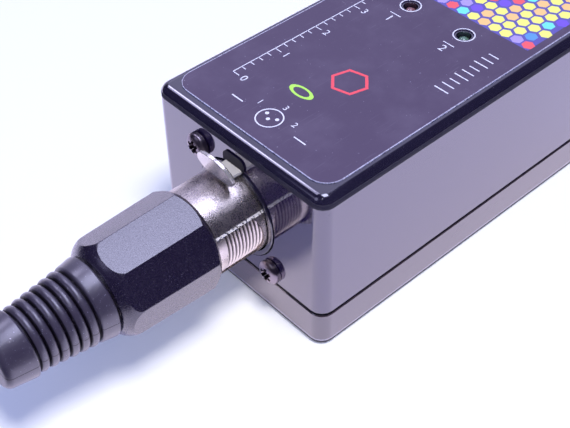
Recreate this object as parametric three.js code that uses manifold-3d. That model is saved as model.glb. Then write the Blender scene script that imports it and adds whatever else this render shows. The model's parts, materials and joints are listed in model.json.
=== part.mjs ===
// A USB lighting-control interface: a two-part moulded box with a printed circuit board,
// a round three-pole chassis socket at one end, a square USB socket at the other, and the
// mating cable plug pushed home in the round socket.
// Millimetres, +Z up. The origin is the middle of the box's bottom face. The round socket
// faces -Y and its axis runs along Y, so the plug pulls out towards -Y.

import * as THREE from 'three';
import { mergeVertices } from 'three/addons/utils/BufferGeometryUtils.js';
import Module from 'manifold-3d';

// Box: a deep upper shell over a shallow base lid.
const boxWidth = 49.3;
const boxLength = 100;
const boxHeight = 40;
const wall = 2.2;
const topWall = 2.4;
const floorThickness = 2.2;
const cornerRadius = 3.0;
const topFillet = 2.1;
const bottomFillet = 0.9;
const innerCornerRadius = 1.2;
const edgeBreak = 0.25;
const draftShare = 0.008;
const lidHeight = 8.65;
const partingGap = 0.55;
const lipHeight = 1.8;
const lipThickness = 0.95;
const lipClearance = 0.15;

// Screws that hold the box, the board and the round socket.
const caseScrewInset = 5.2;
const caseBossRadius = 3.4;
const pedestalRadius = 4.2;
const pedestalHeight = 5;
const caseScrewHeadRadius = 2.8;
const caseScrewHeadHeight = 2.1;
const caseScrewRadius = 1.45;
const caseScrewLength = 14;
const counterboreDepth = 3.2;
const boardScrewHeadRadius = 2.6;
const boardScrewHeadHeight = 1.7;
const boardScrewRadius = 1.4;
const boardScrewLength = 7;
const socketScrewHeadRadius = 2.7;
const socketScrewHeadHeight = 2.0;
const socketScrewRadius = 1.45;
const socketScrewLength = 8;
const screwClearance = 0.25;
const threadGap = 0.1;
const driveDepthShare = 0.6;
const driveWidthShare = 0.22;
const driveReachShare = 0.52;
const headDomeShare = 0.55;

// Label on the top face.
const labelSideMargin = 2.45;
const labelEndMargin = 3.15;
const labelThickness = 0.25;
const labelCornerRadius = 4.4;

// Signal lamps: 3 mm lamps on long leads, in holes through the top.
const lampRadius = 1.5;
const lampRimRadius = 1.9;
const lampRimHeight = 1.0;
const lampBodyHeight = 3.9;
const lampRecess = 0.4;
const lampHoleClearance = 0.15;
const lampLeadWidth = 0.5;
const lampLeadPitch = 2.54;
const lampSpacing = 15.2;
const lampFromFront = 57.4;
const labelHoleRadius = 2.1;

// Round three-pole chassis socket, mounted from behind the front wall.
const socketAxisHeight = 22.58;
const collarRadius = 10.95;
const collarStandProud = 0.25;
const collarEdgeRadius = 0.2;
const collarHoleClearance = 0.25;
const socketBoreRadius = 9.95;
const socketBoreDepth = 15.6;
const socketFlangeHalfWidth = 13;
const socketFlangeHalfHeight = 13;
const socketFlangeThickness = 4.5;
const socketBlockHalfWidth = 11.4;
const socketBlockTop = 13.6;
const socketBlockLength = 17;
const socketSeatHeight = 11.58;
const socketScrewOffset = 10.35;
const socketScrewDepth = 6;
const insertRadius = 7.8;
const insertRecess = 0.9;
const contactCircleRadius = 4.75;
const contactOuterRadius = 1.75;
const contactInnerRadius = 1.35;
const contactRecess = 0.6;
const contactBarrelLength = 12.4;
const contactStemWidth = 0.9;
const contactTailBelow = 3.0;

// Latch lever over the round socket.
const leverWidth = 4.6;
const leverThickness = 0.8;
const leverHeight = 10.5;
const leverReach = 3.3;
const padWidth = 10.4;
const padHeight = 6.2;
const padCornerRadius = 2.7;
const padLean = 14;
const leverSlotClearance = 0.35;
const leverPressAngle = 4;
const pivotDepth = 11.5;
const pivotHeight = 11.5;
const pivotRadius = 0.7;
const pivotEyeRadius = 1.3;
const pivotClearance = 0.08;
const pivotPinLength = 9;
const tailDepth = 22;
const toothDepth = 5;
const toothLength = 1.6;
const toothHeight = 0.5;
const springRadius = 1.25;
const springWireRadius = 0.22;
const springTurns = 4;
const springStation = 19;
const springWellFloor = 6.2;

// Circuit board.
const boardThickness = 1.6;
const boardWidth = 42;
const boardFrontGap = 9.2;
const boardRearGap = 3.5;
const boardCornerNotch = 6;
const boardPostRadius = 3;
const boardPostSpread = 34;
const boardPostFromEnd = 17;
const solderGap = 0.1;
const padHoleRadius = 0.75;

// Square USB socket on the rear edge of the board.
const usbWidth = 12.04;
const usbHeight = 10.8;
const usbDepth = 16.3;
const usbSheet = 0.5;
const usbMouthWidth = 8.45;
const usbMouthHeight = 7.8;
const usbMouthChamfer = 1.7;
const usbMouthDepth = 9.4;
const usbTongueWidth = 5.6;
const usbTongueHeight = 3.2;
const usbTongueRecess = 1.3;
const usbStandProud = 0.3;
const usbContactWidth = 1.0;
const usbContactThickness = 0.25;
const usbContactPitch = 2.0;
const usbWallClearance = 0.25;

// Parts on the board.
const controllerSize = 9;
const controllerHeight = 1.4;
const isolatorLength = 10.3;
const isolatorWidth = 7.5;
const isolatorHeight = 2.3;
const driverLength = 4.9;
const driverWidth = 3.9;
const driverHeight = 1.5;
const converterLength = 19.5;
const converterWidth = 7;
const converterHeight = 10;
const crystalLength = 11;
const crystalWidth = 4.6;
const crystalHeight = 3.6;
const capacitorRadius = 3.15;
const capacitorHeight = 7.5;
const capacitorGroove = 0.35;
const resistorLength = 3.2;
const resistorWidth = 1.6;
const resistorHeight = 0.6;
const chipLeadWidth = 0.4;
const chipLeadReach = 1.1;
const chipLeadPitch = 1.27;
const controllerLeads = 6;
const isolatorLeads = 8;
const driverLeads = 4;
const chipLeadThickness = 0.25;

// Cable plug, measured outwards from the front wall.
const plugShellRadius = 9.6;
const plugShellBore = 8.15;
const plugShellEngagement = 15;
const plugNeckRadius = 8.75;
const plugNeckBore = 7.4;
const plugNeckEnd = 19.5;
const gripUpperEdge = 4.6;
const gripLowerEdge = -6.6;
const gripFront = 1.5;
const gripRibsStart = 1.2;
const gripRibsEnd = 8.9;
const gripCornerRadius = 1.1;
const gripFloorDepth = 0.95;
const gripRibHeight = 0.5;
const gripRibs = 10;
const latchWindowWidth = 5;
const latchWindowLength = 3.6;
const latchWindowFromTip = 8.2;
const plugInsertRadius = 8.0;
const plugInsertFront = 1.2;
const plugInsertRear = 8.4;
const pinRadius = 1.2;
const pinLength = 12.3;
const solderCupRadius = 1.65;
const solderCupBore = 1.15;
const solderCupLength = 5;
const solderCupDepth = 3.6;

// Clamp, screwed housing and rubber boot behind the plug shell.
const cableBoreRadius = 3.35;
const clampFront = 16.2;
const clampRear = 28.6;
const clampHeadRadius = 7.2;
const clampHeadEnd = 19.0;
const clampBodyRadius = 6.6;
const clampNoseRadius = 5.0;
const clampSlots = 4;
const clampSlotWidth = 1.2;
const housingFront = 12.1;
const housingRear = 34.1;
const housingSides = 8;
const housingFrontCornerRadius = 11.13;
const housingRearCornerRadius = 10.6;
const housingTurn = 7.6;
const housingRimRadius = 9.9;
const housingRimLength = 1.3;
const housingShoulderStart = 30.5;
const housingShoulderSweep = 52;
const housingRearRadius = 8.2;
const housingBore = 9.0;
const housingCavityEnd = 30.2;
const housingNoseBore = 6.6;
const bootFlangeFront = 28.9;
const bootFlangeRadius = 7.6;
const bootFlangeThickness = 1.0;
const bootNeckRadius = 6.3;
const bootCollarFront = 34.6;
const bootCollarRear = 38.2;
const bootCollarRadius = 8.5;
const bootCollarRearRadius = 8.05;
const bootRibs = 6;
const bootFirstRib = 39.5;
const bootRibPitch = 2.0;
const bootFirstRibRadius = 7.9;
const bootLastRibRadius = 6.75;
const bootRibWidth = 1.4;
const bootGrooveDepth = 1.0;
const bootTailFront = 50.8;
const bootTailRear = 57.0;
const bootTailRadius = 6.95;
const bootTailRearRadius = 6.3;
const bootEdgeRadius = 0.5;
const bootEndRadius = 1.4;

// How finely round forms are faceted.
const fineSides = 36;
const mediumSides = 32;
const smallSides = 16;
const tinySides = 10;
const cornerSteps = 4;
const filletSteps = 4;
const screwSides = 10;
const bootSides = 24;
const screwDomeSteps = 2;
const coilStepsPerTurn = 8;
const wireSteps = 3;

// Clearances shared by neighbouring pieces, and the overrun of every cut.
const seatGap = 0.3;
const overrun = 1;

// Heights and stations worked out from the sizes above.
const shellBottom = lidHeight + partingGap;
const lipTop = lidHeight + lipHeight;
const rebateTop = lipTop + seatGap;
const boardTop = socketAxisHeight - socketSeatHeight;
const boardBottom = boardTop - boardThickness;
const frontFace = -boxLength / 2;
const rearFace = boxLength / 2;
const ceiling = boxHeight - topWall;
const caseScrewX = boxWidth / 2 - caseScrewInset;
const caseScrewY = boxLength / 2 - caseScrewInset;
const caseScrewPlaces = [
  [caseScrewX, caseScrewY],
  [-caseScrewX, caseScrewY],
  [-caseScrewX, -caseScrewY],
  [caseScrewX, -caseScrewY],
];
const boardScrewX = boardPostSpread / 2;
const boardScrewY = boxLength / 2 - boardPostFromEnd;
const boardScrewPlaces = [
  [boardScrewX, boardScrewY],
  [-boardScrewX, boardScrewY],
  [-boardScrewX, -boardScrewY],
  [boardScrewX, -boardScrewY],
];
const lampY = frontFace + lampFromFront;
const lampPlaces = { power: [-lampSpacing / 2, lampY], link: [lampSpacing / 2, lampY] };
const flangeFront = wall + seatGap;
const blockFront = flangeFront + socketFlangeThickness;
const blockRear = blockFront + socketBlockLength;
const leverHole = leverWidth / 2 + leverSlotClearance;
const leverTop = leverHeight + leverThickness;
const plugNeckStart = housingFront - seatGap;

const fullTurn = Math.PI * 2;
const halfTurn = Math.PI;
const quarterTurn = Math.PI / 2;
const pressSlope = Math.sin(THREE.MathUtils.degToRad(leverPressAngle));
const slotTop = leverTop + pivotDepth * pressSlope + leverSlotClearance;
const tailChannelFloor = leverHeight - (tailDepth - pivotDepth) * pressSlope - leverSlotClearance;
const contactDegrees = [20, 160, 270];
const contactAngles = contactDegrees.map((degrees) => THREE.MathUtils.degToRad(degrees));
const contactPlaces = contactAngles.map((angle) => [
  contactCircleRadius * Math.cos(angle),
  contactCircleRadius * Math.sin(angle),
]);

const wasm = await Module();
wasm.setup();

// Turns a closed geometry into a solid with its faces pointing out.
function toSolid(geometry) {
  const loose = geometry.index ? geometry.toNonIndexed() : geometry;
  loose.deleteAttribute('normal');
  loose.deleteAttribute('uv');
  const welded = mergeVertices(loose);
  const places = welded.attributes.position;
  const corner = (index) => new THREE.Vector3().fromBufferAttribute(places, index);
  const triangles = [];
  let volume = 0;
  for (let i = 0; i < welded.index.count; i += 3) {
    const [a, b, c] = [0, 1, 2].map((k) => welded.index.getX(i + k));
    if (a === b || b === c || c === a) continue;
    triangles.push([a, b, c]);
    volume += corner(a).dot(corner(b).cross(corner(c)));
  }
  const facingOut = volume > 0 ? triangles : triangles.map(([a, b, c]) => [a, c, b]);
  return new wasm.Manifold(new wasm.Mesh({
    numProp: 3,
    vertProperties: new Float32Array(places.array),
    triVerts: new Uint32Array(facingOut.flat()),
  }));
}

function toGeometry(solid) {
  const mesh = solid.getMesh();
  const geometry = new THREE.BufferGeometry();
  geometry.setAttribute('position', new THREE.BufferAttribute(new Float32Array(mesh.vertProperties), 3));
  geometry.setIndex(new THREE.BufferAttribute(new Uint32Array(mesh.triVerts), 1));
  geometry.computeVertexNormals();
  return geometry;
}

function join(...solids) {
  return solids.flat().reduce((whole, solid) => whole.add(solid));
}

function cut(solid, ...tools) {
  return tools.flat().reduce((rest, tool) => rest.subtract(tool), solid);
}

// A box between two opposite corners.
function block([x0, y0, z0], [x1, y1, z1]) {
  const geometry = new THREE.BoxGeometry(x1 - x0, y1 - y0, z1 - z0);
  geometry.translate((x0 + x1) / 2, (y0 + y1) / 2, (z0 + z1) / 2);
  return toSolid(geometry);
}

// A round bar along X, Y or Z; the centre lists the other two coordinates in that order.
function bar(axis, radius, start, end, [first, second] = [0, 0], sides = mediumSides) {
  const geometry = new THREE.CylinderGeometry(radius, radius, end - start, sides);
  const middle = (start + end) / 2;
  if (axis === 'x') {
    geometry.rotateZ(quarterTurn);
    geometry.translate(middle, first, second);
  } else if (axis === 'y') {
    geometry.translate(first, middle, second);
  } else {
    geometry.rotateX(quarterTurn);
    geometry.translate(first, second, middle);
  }
  return toSolid(geometry);
}

// A profile of [radius, station] points turned about the Y axis.
function turned(profile, sides = fineSides) {
  const points = profile.map(([radius, station]) => new THREE.Vector2(radius, station));
  return toSolid(new THREE.LatheGeometry(points, sides));
}

// The same about an upright axis, moved to x, y.
function turnedUpright(profile, sides, [x, y]) {
  const points = profile.map(([radius, height]) => new THREE.Vector2(radius, height));
  const geometry = new THREE.LatheGeometry(points, sides);
  geometry.rotateX(quarterTurn);
  geometry.translate(x, y, 0);
  return toSolid(geometry);
}

// A profile with a hole right through it, closed on itself.
function tube(profile, sides = fineSides) {
  return turned([...profile, profile[0]], sides);
}

// Quarter-circle points from one edge direction to the next.
function arc([centreRadius, centreStation], radius, from, to, steps) {
  return Array.from({ length: steps + 1 }, (_, k) => {
    const angle = from + (to - from) * k / steps;
    return [centreRadius + radius * Math.cos(angle), centreStation + radius * Math.sin(angle)];
  });
}

// The outline of a rounded rectangle, level at one height.
function roundedRing(width, length, cornerRound, height) {
  const round = Math.max(cornerRound, 0);
  const centres = [[1, 1], [-1, 1], [-1, -1], [1, -1]];
  return centres.flatMap(([sideX, sideY], corner) =>
    Array.from({ length: cornerSteps + 1 }, (_, k) => {
      const angle = quarterTurn * (corner + k / cornerSteps);
      const x = sideX * (width / 2 - round) + round * Math.cos(angle);
      const y = sideY * (length / 2 - round) + round * Math.sin(angle);
      return new THREE.Vector3(x, y, height);
    }));
}

// A closed solid through level outlines that have as many points each.
function loft(rings) {
  const count = rings[0].length;
  const middleOf = (ring) => ring.reduce((sum, p) => sum.clone().add(p)).divideScalar(count);
  const points = [...rings.flat(), middleOf(rings[0]), middleOf(rings.at(-1))];
  const firstMiddle = points.length - 2;
  const lastMiddle = points.length - 1;
  const lastRing = (rings.length - 1) * count;
  const index = [];
  for (let i = 0; i < count; i += 1) {
    const next = (i + 1) % count;
    index.push(firstMiddle, next, i);
    index.push(lastMiddle, lastRing + i, lastRing + next);
    for (let r = 0; r < rings.length - 1; r += 1) {
      const low = r * count;
      const high = low + count;
      index.push(low + i, low + next, high + next);
      index.push(low + i, high + next, high + i);
    }
  }
  const geometry = new THREE.BufferGeometry().setFromPoints(points);
  geometry.setIndex(index);
  return toSolid(geometry);
}

// An outline of y, z points, as wide along X as said and centred on X = 0.
function acrossX(outline, width) {
  const geometry = new THREE.ExtrudeGeometry(
    new THREE.Shape(outline), { depth: width, bevelEnabled: false });
  geometry.translate(0, 0, -width / 2);
  geometry.rotateY(quarterTurn);
  geometry.rotateX(quarterTurn);
  return toSolid(geometry);
}

// Colours, roughness and metalness of each kind of surface.
const looks = {
  glossPlastic: { color: 0x17151c, roughness: 0.12, metalness: 0 },
  blackPlastic: { color: 0x1c1a20, roughness: 0.4, metalness: 0 },
  insulator: { color: 0x22222a, roughness: 0.5, metalness: 0 },
  label: { color: 0x4a4356, roughness: 0.3, metalness: 0 },
  nickel: { color: 0xc8c3ba, roughness: 0.28, metalness: 1 },
  blackSteel: { color: 0x26242b, roughness: 0.3, metalness: 0.8 },
  zincSteel: { color: 0xb7bac0, roughness: 0.35, metalness: 1 },
  springSteel: { color: 0x8f9299, roughness: 0.35, metalness: 1 },
  brass: { color: 0xd8c27a, roughness: 0.3, metalness: 1 },
  silver: { color: 0xd9d9dc, roughness: 0.25, metalness: 1 },
  boardGreen: { color: 0x14532c, roughness: 0.45, metalness: 0 },
  chipBlack: { color: 0x1a1a1c, roughness: 0.55, metalness: 0 },
  capacitorSleeve: { color: 0x20252f, roughness: 0.4, metalness: 0 },
  redLamp: { color: 0xb02320, roughness: 0.15, metalness: 0 },
  greenLamp: { color: 0x2c8b3a, roughness: 0.15, metalness: 0 },
  rubber: { color: 0x242228, roughness: 0.6, metalness: 0 },
};

const group = new THREE.Group();
group.name = 'lighting_interface';

// The round socket's frame: Y runs into the box from the front face, Z up from the axis.
const socketFrame = new THREE.Group();
socketFrame.position.set(0, frontFace, socketAxisHeight);
group.add(socketFrame);

function piece(name, solid, look, parent = group) {
  const material = new THREE.MeshStandardMaterial(looks[look]);
  const mesh = new THREE.Mesh(toGeometry(solid), material);
  mesh.name = name;
  parent.add(mesh);
  return mesh;
}

// Upper shell: drafted walls, rounded top edges, a rebate that the lid's lip enters, four
// screw bosses and the openings for both sockets and both lamps.
function upperShell() {
  const level = (height, inset) => roundedRing(
    boxWidth - 2 * inset, boxLength - 2 * inset, cornerRadius - inset, height);
  const filletBase = boxHeight - topFillet;
  const draft = draftShare * (filletBase - shellBottom);
  const rings = [level(shellBottom, edgeBreak), level(shellBottom + edgeBreak, 0)];
  for (let k = 0; k <= filletSteps; k += 1) {
    const angle = quarterTurn * k / filletSteps;
    const height = filletBase + topFillet * Math.sin(angle);
    rings.push(level(height, draft + topFillet * (1 - Math.cos(angle))));
  }
  const cavityWidth = boxWidth - 2 * wall;
  const cavityLength = boxLength - 2 * wall;
  const cavity = loft([
    roundedRing(cavityWidth, cavityLength, innerCornerRadius, shellBottom - overrun),
    roundedRing(cavityWidth - 2 * draft, cavityLength - 2 * draft, innerCornerRadius, ceiling),
  ]);
  const rebateGrow = 2 * (lipThickness + lipClearance);
  const rebate = loft([shellBottom - overrun, rebateTop].map((height) => roundedRing(
    cavityWidth + rebateGrow, cavityLength + rebateGrow, innerCornerRadius, height)));
  const bosses = caseScrewPlaces.map((place) => bar(
    'z', caseBossRadius, rebateTop, ceiling + topWall / 2, place, smallSides));
  const pilots = caseScrewPlaces.map((place) => bar(
    'z', caseScrewRadius + threadGap, rebateTop - overrun, caseScrewLength + counterboreDepth + overrun,
    place, tinySides));
  const collarHole = bar(
    'y', collarRadius + collarHoleClearance, frontFace - overrun, frontFace + wall + overrun,
    [0, socketAxisHeight], fineSides);
  const leverNotch = block(
    [-leverHole, frontFace - overrun, socketAxisHeight],
    [leverHole, frontFace + wall + overrun, socketAxisHeight + slotTop]);
  const screwHoles = [1, -1].map((side) => bar(
    'y', socketScrewRadius + screwClearance, frontFace - overrun, frontFace + wall + overrun,
    [-side * socketScrewOffset, socketAxisHeight + side * socketScrewOffset], smallSides));
  const lampHoles = Object.values(lampPlaces).map((place) => bar(
    'z', lampRadius + lampHoleClearance, ceiling - overrun, boxHeight + overrun, place, smallSides));
  const usbHole = block(
    [-usbWidth / 2 - usbWallClearance, rearFace - wall - overrun, boardTop - usbWallClearance],
    [usbWidth / 2 + usbWallClearance, rearFace + overrun, boardTop + usbHeight + usbWallClearance]);
  const hollow = cut(loft(rings), cavity);
  const bossed = join(hollow, bosses.map((boss) => boss.intersect(loft(rings))));
  return cut(bossed, rebate, pilots, collarHole, leverNotch, screwHoles, lampHoles, usbHole);
}

// Base lid: a shallow tray with a lip, four screw columns and four board posts.
function baseLid() {
  const level = (height, inset) => roundedRing(
    boxWidth - 2 * inset, boxLength - 2 * inset, cornerRadius - inset, height);
  const rings = [];
  for (let k = 0; k <= filletSteps; k += 1) {
    const angle = quarterTurn * k / filletSteps;
    rings.push(level(bottomFillet * (1 - Math.cos(angle)), bottomFillet * (1 - Math.sin(angle))));
  }
  rings.push(level(lidHeight - edgeBreak, 0), level(lidHeight, edgeBreak));
  const trayWidth = boxWidth - 2 * wall;
  const trayLength = boxLength - 2 * wall;
  const lip = loft([floorThickness, lipTop].map((height) => roundedRing(
    trayWidth + 2 * lipThickness, trayLength + 2 * lipThickness, innerCornerRadius, height)));
  const tray = loft([floorThickness, lipTop + overrun].map((height) => roundedRing(
    trayWidth, trayLength, innerCornerRadius, height)));
  const outer = join(loft(rings), lip);
  const columns = caseScrewPlaces.flatMap((place) => [
    bar('z', pedestalRadius, floorThickness / 2, pedestalHeight, place, smallSides),
    bar('z', caseBossRadius, floorThickness / 2, lipTop, place, smallSides),
  ]).map((column) => column.intersect(outer));
  const posts = boardScrewPlaces.map((place) => bar(
    'z', boardPostRadius, floorThickness / 2, boardBottom - solderGap, place, smallSides));
  const counterbores = caseScrewPlaces.map((place) => bar(
    'z', caseScrewHeadRadius + screwClearance, -overrun, counterboreDepth, place, smallSides));
  const throughHoles = caseScrewPlaces.map((place) => bar(
    'z', caseScrewRadius + screwClearance, 0, lipTop + overrun, place, tinySides));
  const postPilots = boardScrewPlaces.map((place) => bar(
    'z', boardScrewRadius + threadGap, floorThickness, boardBottom + overrun, place, tinySides));
  return cut(join(cut(outer, tray), columns, posts), counterbores, throughHoles, postPilots);
}

// Label: a thin rounded sheet with a round window over each lamp.
function topLabel() {
  const width = boxWidth - 2 * labelSideMargin;
  const length = boxLength - 2 * labelEndMargin;
  const sheet = loft([boxHeight, boxHeight + labelThickness].map((height) => roundedRing(
    width, length, labelCornerRadius, height)));
  const windows = Object.values(lampPlaces).map((place) => bar(
    'z', labelHoleRadius, boxHeight - overrun, boxHeight + labelThickness + overrun, place, smallSides));
  return cut(sheet, windows);
}

// A pan-head screw about the Y axis: its domed head towards -Y from station 0, with a
// cross recess, and its shank towards +Y.
function panScrew([headRadius, headHeight], [shankRadius, shankLength], sides, domeSteps) {
  const domeStart = headHeight * (1 - headDomeShare);
  const domeHeight = headHeight * headDomeShare;
  const dome = Array.from({ length: domeSteps + 1 }, (_, k) => {
    const angle = quarterTurn * k / domeSteps;
    return [headRadius * Math.cos(angle), -domeStart - domeHeight * Math.sin(angle)];
  });
  const tipStation = shankLength - shankRadius;
  const body = turned(
    [[0, shankLength], [shankRadius / 2, shankLength], [shankRadius, tipStation],
      [shankRadius, 0], [headRadius, 0], ...dome.slice(0, -1), [0, -headHeight]], sides);
  const halfWidth = headRadius * driveWidthShare / 2;
  const reach = headRadius * driveReachShare;
  const floor = -headHeight * (1 - driveDepthShare);
  const bars = [[reach, halfWidth], [halfWidth, reach]].map(([x, z]) => block(
    [-x, -headHeight - overrun, -z], [x, floor, z]));
  return cut(body, bars);
}

// Lamp: a domed lens with a rim, and two leads down through the board.
function lamp([x, y]) {
  const top = boxHeight - lampRecess;
  const domeBase = top - lampRadius;
  const rimTop = domeBase - lampBodyHeight + lampRimHeight;
  const rimBottom = rimTop - lampRimHeight;
  const lens = turnedUpright(
    [[0, rimBottom], [lampRimRadius, rimBottom], [lampRimRadius, rimTop], [lampRadius, rimTop],
      ...arc([0, domeBase], lampRadius, 0, quarterTurn, filletSteps).slice(0, -1), [0, top]],
    smallSides, [x, y]);
  const leads = [1, -1].map((side) => {
    const centre = x + side * lampLeadPitch / 2;
    return block(
      [centre - lampLeadWidth / 2, y - lampLeadWidth / 2, boardBottom - overrun],
      [centre + lampLeadWidth / 2, y + lampLeadWidth / 2, rimBottom + lampRimHeight / 2]);
  });
  return join(lens, leads);
}

// Round socket body: a flanged collar and a block that stands on the board, with the bore
// for the plug and a channel for the latch lever.
function socketBody() {
  const flange = block(
    [-socketFlangeHalfWidth, flangeFront, -socketFlangeHalfHeight],
    [socketFlangeHalfWidth, blockFront, socketFlangeHalfHeight]);
  const bottom = -socketSeatHeight + solderGap;
  const main = block(
    [-socketBlockHalfWidth, blockFront - overrun, bottom],
    [socketBlockHalfWidth, blockRear, socketBlockTop]);
  const collarEdge = arc(
    [collarRadius - collarEdgeRadius, collarEdgeRadius - collarStandProud], collarEdgeRadius,
    -quarterTurn, 0, filletSteps);
  const collar = turned(
    [[0, -collarStandProud], ...collarEdge, [collarRadius, flangeFront + overrun],
      [0, flangeFront + overrun]]);
  const bore = bar('y', socketBoreRadius, -collarStandProud - overrun, socketBoreDepth, [0, 0], fineSides);
  const openChannel = block(
    [-leverHole, -collarStandProud - overrun, 0],
    [leverHole, socketBoreDepth, socketBlockTop + overrun]);
  const tailChannel = block(
    [-leverHole, socketBoreDepth - overrun, tailChannelFloor],
    [leverHole, tailDepth + overrun, leverTop + leverSlotClearance]);
  const springWell = bar(
    'z', springRadius + springWireRadius + seatGap, springWellFloor, leverHeight,
    [0, springStation], tinySides);
  const stems = contactPlaces.map((place) => bar(
    'y', contactStemWidth, socketBoreDepth - overrun, blockRear + overrun, place, tinySides));
  const pivotHole = bar(
    'x', pivotRadius + threadGap, -pivotPinLength / 2 - seatGap, pivotPinLength / 2 + seatGap,
    [pivotDepth, pivotHeight], tinySides);
  const screwHoles = [1, -1].map((side) => bar(
    'y', socketScrewRadius + threadGap, flangeFront - overrun, flangeFront + socketScrewDepth,
    [-side * socketScrewOffset, side * socketScrewOffset], tinySides));
  return cut(
    join(flange, main, collar),
    bore, openChannel, tailChannel, springWell, stems, pivotHole, screwHoles);
}

// Socket insert: the round block inside the bore that carries the three contacts.
function socketInsert() {
  const rear = socketBoreDepth - seatGap;
  const holes = contactPlaces.map((place) => bar(
    'y', contactOuterRadius + threadGap, insertRecess - overrun, rear + overrun, place, tinySides));
  const edge = arc(
    [insertRadius - collarEdgeRadius, insertRecess + collarEdgeRadius], collarEdgeRadius,
    -quarterTurn, 0, filletSteps);
  const round = turned([[0, insertRecess], ...edge, [insertRadius, rear], [0, rear]], mediumSides);
  return cut(round, holes);
}

// Socket contact: a barrel that grips a pin, a stem to the rear and a tail into the board.
function socketContact([x, z]) {
  const front = insertRecess + contactRecess;
  const rear = front + contactBarrelLength;
  const barrel = bar('y', contactOuterRadius, front, rear, [x, z], tinySides);
  const bore = bar('y', contactInnerRadius, front - overrun, rear - contactStemWidth, [x, z], tinySides);
  const half = contactStemWidth / 2;
  const tailRear = blockRear + seatGap + contactStemWidth;
  const stem = block([x - half, rear - contactStemWidth, z - half], [x + half, tailRear, z + half]);
  const tail = block(
    [x - half, tailRear - contactStemWidth, -socketSeatHeight - contactTailBelow],
    [x + half, tailRear, z + half]);
  return join(cut(barrel, bore), stem, tail);
}

// Latch lever: a steel strip with a thumb pad at the front, a tooth that drops into the
// plug's latch window, a pivot eye, and a tail that the spring lifts. Pushing the pad in
// lifts the tooth.
function latchLever() {
  const middle = leverHeight + leverThickness / 2;
  const strip = block(
    [-leverWidth / 2, -leverReach - leverThickness / 2, leverHeight],
    [leverWidth / 2, tailDepth, leverTop]);
  const eye = bar(
    'x', pivotEyeRadius, -leverWidth / 2, leverWidth / 2, [pivotDepth, pivotHeight], smallSides);
  const eyeHole = bar(
    'x', pivotRadius + pivotClearance, -leverWidth, leverWidth, [pivotDepth, pivotHeight], tinySides);
  const toothRear = toothDepth + toothLength;
  const tooth = acrossX([
    [toothDepth, middle], [toothRear, middle], [toothRear, leverHeight - toothHeight],
    [toothDepth, leverHeight],
  ].map(([y, z]) => new THREE.Vector2(y, z)), leverWidth / 2);
  return cut(join(strip, eye, tooth, thumbPad()), eyeHole);
}

// Thumb pad: a half-moon plate that stands up from the strip's front end and leans out.
function thumbPad() {
  const half = padWidth / 2;
  const outline = new THREE.Shape();
  outline.moveTo(-half + padCornerRadius, 0);
  outline.lineTo(half - padCornerRadius, 0);
  outline.absarc(half - padCornerRadius, padCornerRadius, padCornerRadius, -quarterTurn, 0, false);
  outline.absellipse(0, padCornerRadius, half, padHeight - padCornerRadius, 0, halfTurn, false);
  outline.absarc(
    padCornerRadius - half, padCornerRadius, padCornerRadius, halfTurn, halfTurn + quarterTurn, false);
  const geometry = new THREE.ExtrudeGeometry(
    outline, { depth: leverThickness, bevelEnabled: false, curveSegments: cornerSteps });
  geometry.rotateX(quarterTurn + THREE.MathUtils.degToRad(padLean));
  geometry.translate(0, -leverReach, leverHeight);
  return toSolid(geometry);
}

// Latch spring: a small coil between the floor of its well and the lever's tail.
function latchSpring() {
  const bottom = springWellFloor + threadGap + springWireRadius;
  const height = leverHeight - threadGap - springWireRadius - bottom;
  class Coil extends THREE.Curve {
    getPoint(share, target = new THREE.Vector3()) {
      const angle = fullTurn * springTurns * share;
      return target.set(
        springRadius * Math.cos(angle), springStation + springRadius * Math.sin(angle),
        bottom + height * share);
    }
  }
  const wire = new THREE.Shape().absarc(0, 0, springWireRadius, 0, fullTurn, false);
  return toSolid(new THREE.ExtrudeGeometry(wire, {
    steps: springTurns * coilStepsPerTurn, curveSegments: wireSteps, extrudePath: new Coil(),
  }));
}

// Circuit board: cut away at its rear corners for the screw bosses.
function circuitBoard() {
  const front = frontFace + boardFrontGap;
  const rear = rearFace - boardRearGap;
  const half = boardWidth / 2;
  const notchX = half - boardCornerNotch;
  const notchY = rear - boardCornerNotch;
  const outline = new THREE.Shape([
    [-half, front], [half, front], [half, notchY], [notchX, notchY], [notchX, rear],
    [-notchX, rear], [-notchX, notchY], [-half, notchY],
  ].map(([x, y]) => new THREE.Vector2(x, y)));
  const hole = (x, y, radius) => new THREE.Path().absarc(x, y, radius, 0, fullTurn, true);
  const tailY = frontFace + blockRear + seatGap + contactStemWidth / 2;
  outline.holes.push(
    ...boardScrewPlaces.map(([x, y]) => hole(x, y, boardScrewRadius + screwClearance)),
    ...contactPlaces.map(([x]) => hole(x, tailY, padHoleRadius)),
    ...Object.values(lampPlaces).flatMap(([x, y]) => [
      hole(x - lampLeadPitch / 2, y, padHoleRadius / 2 + threadGap),
      hole(x + lampLeadPitch / 2, y, padHoleRadius / 2 + threadGap),
    ]));
  const geometry = new THREE.ExtrudeGeometry(
    outline, { depth: boardThickness, bevelEnabled: false, curveSegments: filletSteps });
  geometry.translate(0, 0, boardBottom);
  return toSolid(geometry);
}

// Square USB socket: a folded metal shell round a moulded block with a contact tongue.
const usbFront = rearFace + usbStandProud;
const usbRear = usbFront - usbDepth;
const usbBottom = boardTop + solderGap;
const usbTop = usbBottom + usbHeight - solderGap - usbSheet;
const usbMiddle = (usbBottom + usbTop) / 2;

function usbShell() {
  const outer = block([-usbWidth / 2, usbRear, usbBottom], [usbWidth / 2, usbFront, usbTop]);
  const inner = block(
    [-usbWidth / 2 + usbSheet, usbRear + usbSheet, usbBottom + usbSheet],
    [usbWidth / 2 - usbSheet, usbFront + overrun, usbTop - usbSheet]);
  return cut(outer, inner);
}

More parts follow.
